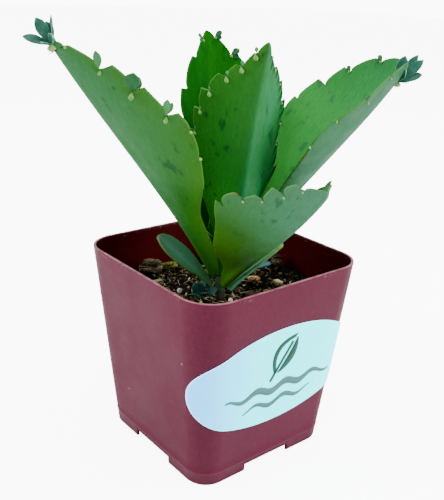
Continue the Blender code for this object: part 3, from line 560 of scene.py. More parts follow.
def strewing_tree():
    """Strews grains from a collection over a surface, then makes them one mesh."""
    tree = bpy.data.node_groups.new("strewn grains", "GeometryNodeTree")
    face = tree.interface
    face.new_socket("Surface", in_out="INPUT", socket_type="NodeSocketGeometry")
    face.new_socket("Grains", in_out="INPUT", socket_type="NodeSocketCollection")
    face.new_socket("Grains per square metre", in_out="INPUT", socket_type="NodeSocketFloat")
    face.new_socket("Smallest", in_out="INPUT", socket_type="NodeSocketVector")
    face.new_socket("Largest", in_out="INPUT", socket_type="NodeSocketVector")
    face.new_socket("Lean", in_out="INPUT", socket_type="NodeSocketFloat")
    face.new_socket("Seed", in_out="INPUT", socket_type="NodeSocketInt")
    face.new_socket("Finish", in_out="INPUT", socket_type="NodeSocketMaterial")
    face.new_socket("Grains", in_out="OUTPUT", socket_type="NodeSocketGeometry")
    given = tree.nodes.new("NodeGroupInput")
    result = tree.nodes.new("NodeGroupOutput")

    def node(kind):
        return tree.nodes.new(kind)

    def join(a, b):
        tree.links.new(a, b)

    points = node("GeometryNodeDistributePointsOnFaces")
    join(given.outputs["Surface"], points.inputs["Mesh"])
    join(given.outputs["Grains per square metre"], points.inputs["Density"])
    join(given.outputs["Seed"], points.inputs["Seed"])
    source = node("GeometryNodeCollectionInfo")
    source.inputs["Separate Children"].default_value = True
    source.inputs["Reset Children"].default_value = True
    join(given.outputs["Grains"], source.inputs["Collection"])
    size = node("FunctionNodeRandomValue")
    size.data_type = "FLOAT_VECTOR"
    join(given.outputs["Smallest"], size.inputs[0])
    join(given.outputs["Largest"], size.inputs[1])
    join(given.outputs["Seed"], size.inputs["Seed"])
    lean = node("FunctionNodeRandomValue")
    lean.data_type = "FLOAT_VECTOR"
    low = node("ShaderNodeCombineXYZ")
    high = node("ShaderNodeCombineXYZ")
    minus = node("ShaderNodeMath")
    minus.operation = "MULTIPLY"
    minus.inputs[1].default_value = -1.0
    join(given.outputs["Lean"], minus.inputs[0])
    ends = ((low, minus.outputs[0], -math.pi), (high, given.outputs["Lean"], math.pi))
    for end, tip_over, turn in ends:
        join(tip_over, end.inputs["X"])
        join(tip_over, end.inputs["Y"])
        end.inputs["Z"].default_value = turn
    join(low.outputs[0], lean.inputs[0])
    join(high.outputs[0], lean.inputs[1])
    join(given.outputs["Seed"], lean.inputs["Seed"])
    strewn = node("GeometryNodeInstanceOnPoints")
    strewn.inputs["Pick Instance"].default_value = True
    join(points.outputs["Points"], strewn.inputs["Points"])
    join(source.outputs[0], strewn.inputs["Instance"])
    join(lean.outputs[0], strewn.inputs["Rotation"])
    join(size.outputs[0], strewn.inputs["Scale"])
    solid = node("GeometryNodeRealizeInstances")
    join(strewn.outputs[0], solid.inputs[0])
    coat = node("GeometryNodeSetMaterial")
    join(solid.outputs[0], coat.inputs["Geometry"])
    join(given.outputs["Finish"], coat.inputs["Material"])
    join(coat.outputs[0], result.inputs[0])
    return tree


def strew(name, tree, bed, shapes, amount, smallest, largest, lean, seed, finish):
    """Strews the shapes over the bed and keeps the result as one plain piece."""
    grains = bpy.data.collections.new(name + " shapes")
    for number, (points, faces) in enumerate(shapes):
        form = bpy.data.meshes.new(f"{name} shape {number}")
        form.from_pydata([tuple(p) for p in points], [], faces)
        form.shade_smooth()
        grains.objects.link(bpy.data.objects.new(form.name, form))
    strewer = bed.modifiers.new("strewn grains", "NODES")
    strewer.node_group = tree
    wanted = {
        "Grains": grains, "Grains per square metre": amount, "Smallest": smallest,
        "Largest": largest, "Lean": lean, "Seed": seed, "Finish": finish,
    }
    for socket in tree.interface.items_tree:
        if socket.in_out == "INPUT" and socket.name in wanted:
            strewer[socket.identifier] = wanted[socket.name]
    bed.update_tag()
    bpy.context.view_layer.update()
    graph = bpy.context.evaluated_depsgraph_get()
    result = bpy.data.meshes.new_from_object(bed.evaluated_get(graph))
    bed.modifiers.remove(strewer)
    result.name = name
    for grain in list(grains.objects):
        bpy.data.objects.remove(grain, do_unlink=True)
    bpy.data.collections.remove(grains)
    return finished(name, result, finish)


def crumb(chance, rounds=5, around=7, stretch=1.0):
    """A lumpy grain about one unit across."""
    rings = []
    for i in range(1, rounds):
        angle = math.pi * i / rounds
        ring = []
        for j in range(around):
            turn = 2 * math.pi * j / around
            size = 0.5 * chance.uniform(0.72, 1.12)
            ring.append((
                size * math.cos(angle) * stretch,
                size * math.sin(angle) * math.cos(turn),
                size * math.sin(angle) * math.sin(turn),
            ))
        rings.append(ring)
    return capped_rings(rings)


def fibre(chance, steps=9, around=5):
    """A thin bent root or coir fibre about one unit long."""
    bend = [chance.uniform(-0.5, 0.5) for _ in range(4)]
    rings = []
    for i in range(steps):
        t = i / (steps - 1)
        x = t - 0.5
        y = bend[0] * math.sin(math.pi * t) * 0.5 + bend[1] * math.sin(2 * math.pi * t) * 0.25
        z = 0.06 + abs(bend[2]) * math.sin(math.pi * t) * 0.22 + bend[3] * 0.08 * math.sin(3 * math.pi * t)
        radius = 0.016 * (1.0 - 0.5 * abs(2 * t - 1) ** 3)
        turns = [2 * math.pi * k / around for k in range(around)]
        rings.append([(x, y + radius * math.cos(a), z + radius * math.sin(a)) for a in turns])
    return capped_rings(rings)


def make_loose_mix():
    """Crumbs, bark slivers, fibres and white specks strewn over the mix, clear of the wall."""
    chance = random.Random(11)
    tree = strewing_tree()
    wide_bed, middle_bed, inner_bed = (top_bed(inset * MM) for inset in (1.1, 2.9, 4.6))
    grains = [crumb(chance) for _ in range(6)]
    slivers = [crumb(chance, 4, 6, 1.9) for _ in range(5)]
    fibres = [fibre(chance) for _ in range(7)]
    strew("mix_clods_dark", tree, middle_bed, grains, 4.2e5, (0.0013, 0.0010, 0.0008),
          (0.0034, 0.0026, 0.0020), 1.2, 3, MIX_CRUMBS)
    strew("mix_crumbs_dark", tree, wide_bed, grains, 6.0e5, (0.0005, 0.0005, 0.0004),
          (0.0017, 0.0014, 0.0011), 1.2, 4, MIX_CRUMBS)
    strew("mix_slivers_brown", tree, middle_bed, slivers, 2.6e5, (0.0008, 0.0006, 0.0004),
          (0.0027, 0.0017, 0.0010), 0.8, 8, MIX_BROWN)
    strew("mix_slivers_tan", tree, middle_bed, slivers, 1.6e5, (0.0005, 0.0004, 0.0003),
          (0.0022, 0.0011, 0.0008), 0.9, 21, MIX_TAN)
    strew("mix_fibres", tree, inner_bed, fibres, 9.5e4, (0.003, 0.003, 0.003),
          (0.0085, 0.008, 0.007), 0.45, 5, FIBRE)
    strew("mix_perlite_specks", tree, wide_bed, grains, 3.0e4, (0.0003, 0.0003, 0.0003),
          (0.0009, 0.0008, 0.0007), 1.2, 14, PERLITE)
    for bed in (wide_bed, middle_bed, inner_bed):
        bpy.data.objects.remove(bed, do_unlink=True)


def stem_radius(z):
    """The stem's radius at height z."""
    share = min(max((z - SOIL_LEVEL) / (STEM_TOP - SOIL_LEVEL), 0.0), 1.0)
    return STEM_BASE_RADIUS + (STEM_TIP_RADIUS - STEM_BASE_RADIUS) * share


def make_stem():
    """The short fleshy stem, swollen where each pair of leaves leaves it."""
    rings = []
    bottom = SOIL_LEVEL - 4.0 * MM
    steps, around = 60, 28
    joints = (46.1, 48.3, 51.4, 54.2)
    for i in range(steps + 1):
        z = bottom + (STEM_TOP - bottom) * i / steps
        swell = sum(math.exp(-((z / MM - joint) / 0.9) ** 2) for joint in joints)
        radius = stem_radius(z) * 0.98 + 0.3 * MM * swell
        if i > steps - 4:
            radius *= 0.5 + 0.125 * (steps - i)
        ring = []
        for j in range(around):
            turn = 2 * math.pi * j / around
            wobble = 1 + 0.05 * noise.noise(Vector((math.cos(turn), math.sin(turn), z * 500)))
            ring.append((
                STEM_X + radius * wobble * math.cos(turn), STEM_Y + radius * wobble * math.sin(turn), z
            ))
        rings.append(ring)
    points, faces = capped_rings(rings)
    return closed_piece("stem_skin_piece", points, faces, STEM, ("stem",))


# ---------------------------------------------------------------- blades


def smooth_through(stations, values, where):
    """Monotone cubic through values at stations, read at where."""
    stations, values = np.asarray(stations), np.asarray(values)
    step = np.diff(stations)
    slope = np.diff(values) / step
    tangent = np.zeros(len(values))
    for i in range(1, len(values) - 1):
        if slope[i - 1] * slope[i] > 0:
            first = 2 * step[i] + step[i - 1]
            second = step[i] + 2 * step[i - 1]
            tangent[i] = (first + second) / (first / slope[i - 1] + second / slope[i])
    tangent[0], tangent[-1] = slope[0], slope[-1]
    k = np.clip(np.searchsorted(stations, where) - 1, 0, len(step) - 1)
    t = (where - stations[k]) / step[k]
    return (
        (2 * t**3 - 3 * t**2 + 1) * values[k]
        + (t**3 - 2 * t**2 + t) * step[k] * tangent[k]
        + (3 * t**2 - 2 * t**3) * values[k + 1]
        + (t**3 - t**2) * step[k] * tangent[k + 1]
    )


def keel_line(leaf, u):
    """Keel points, run, leftward and upward directions of a blade at shares u of its length."""
    s = np.linspace(0.0, 1.0, 201)
    base, middle, tip = leaf["rise"]
    rise = base * (1 - s) * (1 - 2 * s) + middle * 4 * s * (1 - s) + tip * s * (2 * s - 1)
    rise = np.radians(rise)
    heading = np.radians(leaf["heading"] + leaf["swing"] * s)
    run = np.stack([np.cos(rise) * np.cos(heading), np.cos(rise) * np.sin(heading), np.sin(rise)], 1)
    up = np.stack([-np.sin(rise) * np.cos(heading), -np.sin(rise) * np.sin(heading), np.cos(rise)], 1)
    height = SOIL_LEVEL + leaf["height"] * MM
    slope, turn = math.radians(base), math.radians(leaf["heading"])
    out = stem_radius(height) + 0.45 * MM + KEEL_THICKNESS / 2 * math.sin(slope)
    start = np.array([STEM_X + out * math.cos(turn), STEM_Y + out * math.sin(turn), height])
    steps = (run[1:] + run[:-1]) / 2 * leaf["length"] * MM / (len(s) - 1)
    keel = start + np.concatenate([np.zeros((1, 3)), np.cumsum(steps, 0)])
    left = np.cross(up, run)
    twist = np.radians(leaf["twist"][0] + (leaf["twist"][1] - leaf["twist"][0]) * s)[:, None]
    left, up = np.cos(twist) * left + np.sin(twist) * up, np.cos(twist) * up - np.sin(twist) * left
    inside = np.clip(u, 0.0, 1.0)
    lines = [
        np.stack([np.interp(inside, s, axis[:, k]) for k in range(3)], 1)
        for axis in (keel, run, left, up)
    ]
    lines[0] = lines[0] + (u - inside)[:, None] * leaf["length"] * MM * lines[1]
    return lines


def tooth_shift(u, notches, depths):
    """How far the margin steps in at its notches and out at the teeth between them."""
    shift = np.zeros_like(u)
    crest = np.zeros_like(u)
    if not notches:
        return shift, crest
    starts = np.array((notches[0] - 0.10, *notches, min(notches[-1] + 0.07, 1.02)))
    for number, (low, high) in enumerate(zip(starts, starts[1:])):
        share = (u - low) / (high - low)
        inside = (share > 0) & (share <= 1)
        crest_at = 1 - CREST_BACK / (high - low)
        rise = np.clip(share / crest_at, 0, 1)
        fast = 0.0 if number == 0 else 0.62
        rise = fast * (1 - np.exp(-rise / 0.17)) + (1 - fast) * rise**1.3
        climb = np.clip(np.where(share < crest_at, rise, (1 - share) / (1 - crest_at)), 0, 1)
        before = 0.0 if number == 0 else depths[number - 1]
        after = depths[min(number, len(depths) - 1)]
        size = (1.0 + 0.2 * math.sin(number * 2.7)) * after
        foot = -NOTCH_DEPTH * np.where(share < crest_at, before, after)
        shift = np.where(inside, foot + (TOOTH_RISE * size - foot) * climb, shift)
        crest = np.where(inside, (rise**6 if number else rise) * (share < crest_at + 1e-9), crest)
    return shift, crest


def half_blade(leaf, u, out, side):
    """Mid-surface of one half blade, with out (rows of shares from keel to margin) per u."""
    keel, run, left, up = keel_line(leaf, u)
    more = leaf.get("more_left" if side > 0 else "more_right", (0,) * len(BLADE_STATIONS))
    width = smooth_through(BLADE_STATIONS, np.add(leaf["half_widths"], more), np.clip(u, 0, 1)) * MM
    end = 1.0 - 1.1 * leaf["half_widths"][-1] / leaf["length"]
    rounding = np.sqrt(np.clip(1 - ((u - end) / (1 - end)) ** 2, 0.0004, 1))
    width = np.where(u > end, width * rounding, width)
    key = "left" if side > 0 else "right"
    depths = leaf.get(key + "_depth", (1.0,) * max(len(leaf[key]), 1))
    shift, crest = tooth_shift(u, leaf[key], depths)
    shift = shift * np.clip(width / FULL_TOOTH_HALF_WIDTH, 0.0, 1.0)
    fine = np.linspace(0.0, 1.3, 131)
    fold = np.radians(leaf["fold"][0] + (leaf["fold"][1] - leaf["fold"][0]) * u)[:, None]
    slope = fold * (1 - np.exp(-fine / KEEL_ROUNDNESS)) + np.radians(leaf["curl"]) * fine**2
    wave = leaf.get("wave", 0.0)
    slope = slope + wave * np.sin(u * 23.0 + side)[:, None] * fine**3
    step = fine[1]
    zero = np.zeros((len(u), 1))
    sideways, upwards = (
        np.concatenate([zero, np.cumsum((part(slope[:, 1:]) + part(slope[:, :-1])) / 2 * step, 1)], 1)
        for part in (np.cos, np.sin)
    )
    reach = out + (shift / np.maximum(width, 0.3 * MM))[:, None] * out**4
    spot = np.clip(reach / step, 0, len(fine) - 2.001)
    k = spot.astype(int)
    t = spot - k
    x, z = (
        (np.take_along_axis(path, k, 1) * (1 - t) + np.take_along_axis(path, k + 1, 1) * t) * width[:, None]
        for path in (sideways, upwards)
    )
    points = keel[:, None] + side * x[..., None] * left[:, None] + z[..., None] * up[:, None]
    hook = crest * TOOTH_HOOK * np.clip(width / FULL_TOOTH_HALF_WIDTH, 0.0, 1.0)
    points = points + (hook[:, None] * out**6)[..., None] * run[:, None]
    return points, width


def blade_rows(leaf):
    """Shares along the keel with rows close together at notches and tooth crests."""
    rows = list(np.linspace(0.0, 1.0, 170))
    for notches in (leaf["left"], leaf["right"]):
        for notch in notches:
            rows += [notch + CREST_BACK * step for step in (-2.2, -1.5, -1.0, -0.5, 0.0, 0.4, 0.9, 1.6, 2.6)]
    end = 1.0 - 1.1 * leaf["half_widths"][-1] / leaf["length"]
    rows += list(end + (1 - end) * np.sin(np.linspace(0, math.pi / 2, 10)[1:-1]))
    kept = [0.0]
    for share in sorted(rows):
        if share - kept[-1] > 0.0012 and share < 0.9996:
            kept.append(share)
    return np.array(kept + [1.0])


def make_blade(name, leaf, finish):
    """One fleshy blade folded along its keel, with notched margins and a ridge below."""
    u = blade_rows(leaf)
    inner = np.array((
        0.0, 0.02, 0.045, 0.075, 0.11, 0.15, 0.2, 0.26, 0.33, 0.41, 0.5, 0.59, 0.68, 0.76, 0.83, 0.89, 0.94,
    ))
    theta = np.radians([0, 20, 40, 58, 74, 90])
    sides = {}
    for side in (1, -1):
        width = half_blade(leaf, u, np.zeros((len(u), 1)), side)[1]
        rim = np.minimum(RIM_THICKNESS / 2, width * 0.45)
        flat = 1 - rim / np.maximum(width, 1e-6)
        out = np.concatenate(
            [inner[None] * flat[:, None], flat[:, None] + (1 - flat)[:, None] * np.sin(theta)[None]], 1
        )
        points, width = half_blade(leaf, u, out, side)
        round_edge = np.concatenate([np.ones(len(inner)), np.cos(theta)])
        sides[side] = points, out, width, round_edge
    columns = len(inner) + len(theta)
    middle = np.concatenate([sides[1][0][:, ::-1], sides[-1][0][:, 1:]], 1)
    out = np.concatenate([sides[1][1][:, ::-1], -sides[-1][1][:, 1:]], 1)
    wide = np.concatenate([
        np.repeat(sides[1][2][:, None], columns, 1), np.repeat(sides[-1][2][:, None], columns - 1, 1)
    ], 1)
    edge_round = np.concatenate([sides[1][3][::-1], sides[-1][3][1:]])
    along_step = np.gradient(middle, axis=0)
    across_step = np.gradient(middle, axis=1)
    across_step[:, [0, -1]] = across_step[:, [2, -3]]
    along_step[:, 0], along_step[:, -1] = along_step[:, 3], along_step[:, -4]
    normal = np.cross(across_step, along_step)
    normal /= np.maximum(np.linalg.norm(normal, axis=2, keepdims=True), 1e-12)
    up = keel_line(leaf, u)[3]
    if (normal * up[:, None]).sum() < 0:
        normal = -normal
    share = np.abs(out)
    ridge = np.exp(-((share * wide / KEEL_RIDGE_WIDTH) ** 2))
    fade = (1 - 0.55 * u)[:, None]
    body = RIM_THICKNESS / 2 + FLESH_TOWARDS_KEEL * (1 - share)
    tipwards = np.clip((1 - u) / 0.03, 0, 1)[:, None] ** 0.5
    below = (body + (KEEL_RIDGE - RIM_THICKNESS / 2) * ridge * fade) * edge_round * tipwards
    above = (body - KEEL_GROOVE * ridge * fade) * edge_round * tipwards
    above = np.maximum(above, 0.0)
    upper = middle + normal * above[..., None]
    lower = middle - normal * below[..., None]
    full = middle.shape[1]
    loop = np.concatenate([upper, lower[:, -2:0:-1]], 1)
    around = loop.shape[1]
    signed = np.concatenate([out, out[:, -2:0:-1]], 1)
    widths = np.concatenate([wide, wide[:, -2:0:-1]], 1)
    under = np.concatenate([np.zeros(full), np.ones(full - 2)])
    under[[0, full - 1]] = 0.5
    values = {
        "along": np.repeat(u[:, None], around, 1),
        "across": signed,
        "edge": (1 - np.abs(signed)) * widths / MM,
        "below": np.repeat(under[None], len(u), 0),
        "run": np.repeat(u[:, None], around, 1) * leaf["length"],
        "out": signed * widths / MM,
    }
    points = list(loop.reshape(-1, 3))
    faces = ring_faces(len(u), around)
    ends = {key: list(column.reshape(-1)) for key, column in values.items()}
    for row in (0, len(u) - 1):
        points.append(loop[row].mean(0))
        tip = len(points) - 1
        faces += [(row * around + j, row * around + (j + 1) % around, tip) for j in range(around)]
        for key, column in ends.items():
            column.append(column[row * around])
    return closed_piece(name.replace("leaf", "blade"), points, faces, finish, (name,), ends)


def notch_seat(leaf, side, number):
    """The bottom of a notch, with the ways out of the margin, on along it and up off the blade."""
    u = np.array([(leaf["left"] if side > 0 else leaf["right"])[number]])
    edge = half_blade(leaf, u, np.array([[0.5, 1.0]]), side)[0]
    outward = Vector(edge[0, 1] - edge[0, 0]).normalized()
    run = Vector(keel_line(leaf, u)[1][0])
    up = (run.cross(outward) * side).normalized()
    return Vector(edge[0, 1]), outward, run, up


# ---------------------------------------------------------------- buds and plantlets


def fleshy_leaf(length, width, thickness, bend=0.2, steps=14, around=14, notch=0.0):
    """A small spoon-shaped leaf along +X, its face up: points, faces and rim values."""
    rings, rims = [], []
    for i in range(steps):
        t = 0.02 + 0.97 * i / (steps - 1)
        swell = math.sin(math.pi * t**1.25) ** 0.75 * (1 - 0.25 * (1 - t))
        swell = max(swell, 0.16 if t < 0.3 else 0.05)
        if notch:
            swell *= 1 + notch * math.sin(t * 34.0)
        lift = bend * length * t * t
        ring = []
        for k in range(around):
            turn = 2 * math.pi * k / around
            across = math.cos(turn)
            ring.append((
                length * t,
                width / 2 * swell * across,
                lift + thickness / 2 * swell**0.5 * math.sin(turn) + 0.16 * width * swell * across**2,
            ))
            rims.append(abs(across) ** 3 + (0.7 if i > steps - 3 else 0.0))
        rings.append(ring)
    points, faces = capped_rings(rings)
    return points, faces, rims + [0.0, 1.0]


def drop(length, radius, steps=9, around=12):
    """A bud: round and heavy at its hanging end, drawn to a neck at the other."""
    rings = []
    for i in range(steps):
        t = (i + 0.5) / steps
        size = radius * math.sin(math.pi * t**1.5) ** 0.8
        turns = [2 * math.pi * k / around for k in range(around)]
        rings.append([(length * t, size * math.cos(a), size * math.sin(a)) for a in turns])
    return capped_rings(rings)


def heading_way(heading, lift):
    """Unit direction from a heading and a lift in degrees."""
    heading, lift = math.radians(heading), math.radians(lift)
    return Vector((math.cos(heading) * math.cos(lift), math.sin(heading) * math.cos(lift), math.sin(lift)))


def facing(place, way, face):
    """Matrix that puts +X along way and turns +Z as near to face as it can."""
    way = Vector(way).normalized()
    side = Vector(face).cross(way)
    side = side.normalized() if side.length > 1e-4 else way.orthogonal().normalized()
    turned = Matrix((way, side, way.cross(side))).transposed().to_4x4()
    return Matrix.Translation(place) @ turned


def add_leaf(clay, place, way, length, width, face=(0, 0, 1), bend=0.15, notch=0.0, thick=0.3, pale=0.0):
    """Adds one small fleshy leaf."""
    points, faces, rims = fleshy_leaf(length, width, width * thick, bend, notch=notch)
    turned = facing(place, way, face)
    clay.add([turned @ Vector(p) for p in points], faces, leafy=1.0, rim=rims, pale=pale)


def add_drop(clay, place, way, length, radius):
    """Adds one bud."""
    points, faces = drop(length, radius)
    turned = aim(place, way)
    clay.add([turned @ Vector(p) for p in points], faces, leafy=0.0)


def make_bulbils():
    """The buds in the notches, each with its own first pair of leaves."""
    counts = {}
    for leaf_name, side, number, stance, bud, pair, breadth, lean, pale in BULBILS:
        seat, outward, run, up = notch_seat(LEAVES[leaf_name], side, number)
        counts[leaf_name] = counts.get(leaf_name, 0) + 1
        node = leaf_name.replace("leaf", "bulbil") + f"_{counts[leaf_name]}"
        clay = Clay()
        seen = -up if stance == "hangs" else up
        if stance == "hangs":
            start = seat + seen * (0.30 + bud * 0.35) * MM + outward * 0.5 * MM
            way = Vector((0, 0, -1)) - outward * 0.3 + seen * 0.15
            add_drop(clay, start, way, bud * 2.1 * MM, bud * 0.66 * MM)
        else:
            add_drop(clay, seat, outward * 0.4 - run + seen * 0.6, bud * 1.5 * MM, bud * 0.7 * MM)
        heart = seat + outward * 0.1 * MM + seen * 0.2 * MM
        for spread, share in ((0.2, 1.0), (-0.55, 0.85)):
            way = outward + run * (lean + spread)
            if stance == "hangs":
                way = Vector((0, 0, 1)) + outward * 0.35 + run * (lean + spread * 0.8)
            face = heading_way(230, 20) if stance == "hangs" else seen + run * spread * 0.8
            add_leaf(clay, heart, way, pair * share * MM, pair * share * breadth * MM, face, 0.12, pale=pale)
        clay.piece(node.replace("bulbil", "bud"), BULBIL, (node,))


def make_margin_buds():
    """Small unopened buds in the notches that hold no grown bulbil."""
    taken = {(leaf, side, number) for leaf, side, number, *_ in BULBILS}
    clay = Clay()
    for name, leaf in LEAVES.items():
        for side in (1, -1):
            notches = leaf["left"] if side > 0 else leaf["right"]
            for number in range(1, len(notches)):
                if (name, side, number) in taken:
                    continue
                seat, outward, run, up = notch_seat(leaf, side, number)
                way = (outward * 0.3 - run * 0.7 - up * 0.45).normalized()
                add_drop(clay, seat + outward * 0.1 * MM, way, 0.95 * MM, 0.34 * MM)
    clay.piece("margin_buds", PLANTLET)


def make_tip_plantlets():
    """Rosettes grown at the tips of the two longest leaves: base, leaves and a dry curl."""
    rosettes = (
        ("plantlet_left_tip", "leaf_left_large", 0.965, 1.5, (-0.5, 0.0, 2.4), (
            (140, 12, 6.3, 2.5, 225, 45), (146, 60, 6.2, 2.9, 232, 15), (-20, 87, 6.0, 1.9, 165, 10),
            (110, 74, 4.8, 2.6, 240, 0), (250, 48, 3.2, 2.2, 230, 40), (190, 8, 3.0, 1.8, 200, 70),
        )),
        ("plantlet_right_tip", "leaf_right_large", 0.905, 1.9, (0.6, 0.0, 1.9), (
            (-44, 16, 6.6, 3.2, 230, 50), (-38, 42, 8.4, 3.0, 245, 30), (-30, 54, 8.4, 2.6, 220, 10),
            (-50, 78, 6.8, 3.3, 215, 20), (-95, 50, 4.4, 2.8, 225, 40), (-60, 5, 3.6, 2.0, 230, 60),
        )),
    )
    for node, leaf_name, along, off, nudge, leaves in rosettes:
        keel, run, _, up = (Vector(line[0]) for line in keel_line(LEAVES[leaf_name], np.array([along])))
        heart = keel - up * off * MM + Vector(nudge) * MM
        clay = Clay()
        add_drop(clay, heart + run * 0.5 * MM, -run * 0.2 - Vector((0, 0, 0.9)), 1.9 * MM, 0.95 * MM)
        neck = keel - up * 0.3 * MM
        add_leaf(clay, neck, run + up * 0.15, 4.8 * MM, 1.5 * MM, heading_way(230, 20), 0.1, pale=0.6)
        stalk = keel - run * 1.0 * MM - heart
        add_drop(clay, heart, stalk, stalk.length * 1.1, 0.55 * MM)
        for heading, lift, length, width, face_heading, face_lift in leaves:
            face = heading_way(face_heading, face_lift)
            add_leaf(clay, heart, heading_way(heading, lift), length * MM, width * MM, face, 0.05)
        clay.piece(node.replace("plantlet", "rosette"), PLANTLET, (node,))
        curl = Clay()
        for turn in range(4):
            way = heading_way(LEAVES[leaf_name]["heading"] + 60 * turn, -55 + 25 * turn)
            add_leaf(curl, heart - run * 1.2 * MM, way, 1.7 * MM, 0.45 * MM, (0, 0, 1), 0.5)
        curl.piece(node.replace("plantlet", "dry_curl"), DRY)


def make_soil_plantlets():
    """Fallen plantlets that have rooted in the mix."""
    for node, leaves in (
        ("plantlet_soil_left", (
            (145, 58, 4.6, 3.8, 0.9), (170, 12, 3.6, 3.2, 0.6), (320, 22, 4.6, 3.2, -0.9),
            (40, 62, 4.2, 3.0, 1.6), (250, 30, 3.0, 2.4, 0.0),
        )),
        ("plantlet_soil_right", (
            (-42, 10, 7.4, 3.8, -0.8), (-20, 38, 3.8, 2.6, -0.8), (150, 24, 4.2, 2.6, 0.2),
            (70, 35, 3.2, 2.2, 0.0), (230, 20, 3.6, 2.2, 0.2),
        )),
    ):
        low, high = (Vector(corner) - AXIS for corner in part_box(node))
        heart = Vector(((low.x + high.x) / 2, (low.y + high.y) / 2, low.z + 0.5 * MM))
        clay = Clay()
        add_drop(clay, heart - Vector((0, 0, 1.2 * MM)), (0, 0, 1), 2.2 * MM, 0.6 * MM)
        for heading, lift, length, width, roll in leaves:
            face = heading_way(heading + 90 * roll, 88 - lift)
            root = heart + Vector((0, 0, 0.6 * MM))
            add_leaf(clay, root, heading_way(heading, lift), length * MM, width * MM, face, 0.1)
        finish = BLUE_SEEDLING if node.endswith("right") else SEEDLING
        clay.piece(node.replace("plantlet", "seedling"), finish, (node,))


def make_young_growth():
    """The youngest leaf pairs curled at the top of the stem, with toothed edges."""
    heart = Vector((STEM_X, STEM_Y, STEM_TOP - 0.6 * MM))
    for node, leaves in (
        ("young_leaf_left", (
            (142, 76, 13.8, 3.4, 0.2, 0.34), (160, 70, 11.0, 3.2, -0.4, 0.34), (120, 72, 9.0, 2.8, 0.5, 0.3),
        )),
        ("young_leaf_right", (
            (150, 84, 9.6, 3.0, 0.5, 0.3), (200, 74, 7.6, 2.8, -0.6, 0.3), (30, 74, 6.6, 2.4, 0.0, 0.3),
        )),
    ):
        clay = Clay()
        for heading, lift, length, width, roll, notch in leaves:
            face = heading_way(220 + 60 * roll, 15)
            way = heading_way(heading, lift)
            add_leaf(clay, heart, way, length * MM, width * MM, face, 0.2, notch, 0.24)
        clay.piece(node.replace("young_leaf", "young_growth"), YOUNG, (node,))


# ---------------------------------------------------------------- pot and label


def cut(target, name, points, faces):
    """Sets a closed form up as a cutter of the target, and returns it."""
    shape = bpy.data.meshes.new(name)
    shape.from_pydata([tuple(p) for p in points], [], faces)
    bm = bmesh.new()
    bm.from_mesh(shape)
    bmesh.ops.recalc_face_normals(bm, faces=bm.faces)
    bm.to_mesh(shape)
    bm.free()
    cutter = bpy.data.objects.new(name, shape)
    bpy.context.scene.collection.objects.link(cutter)
    away = target.modifiers.new(name, "BOOLEAN")
    away.operation = "DIFFERENCE"
    away.solver = "EXACT"
    away.object = cutter
    return cutter


def box_form(size, middle):
    """Points and faces of a box cutter."""
    corners = [
        Vector(centre + sign * side / 2 for centre, sign, side in zip(middle, signs, size))
        for signs in ((sx, sy, sz) for sx in (-1, 1) for sy in (-1, 1) for sz in (-1, 1))
    ]
    faces = [(0, 1, 3, 2), (4, 6, 7, 5), (0, 4, 5, 1), (2, 3, 7, 6), (0, 2, 6, 4), (1, 5, 7, 3)]
    return corners, faces


def within_wall(point):
    """Whether a point lies on the inner face of the wall or on the pot's floor."""
    half, radius = pot_half_width(point.z), pot_corner(point.z)
    over_x, over_y = abs(point.x) - (half - radius), abs(point.y) - (half - radius)
    if over_x > 0 and over_y > 0:
        depth = radius - math.hypot(over_x, over_y)
    else:
        depth = half - max(abs(point.x), abs(point.y))
    return depth > POT_WALL * 0.8 and FOOT_HEIGHT + FLOOR_THICKNESS / 2 < point.z < POT_HEIGHT - 0.1 * MM


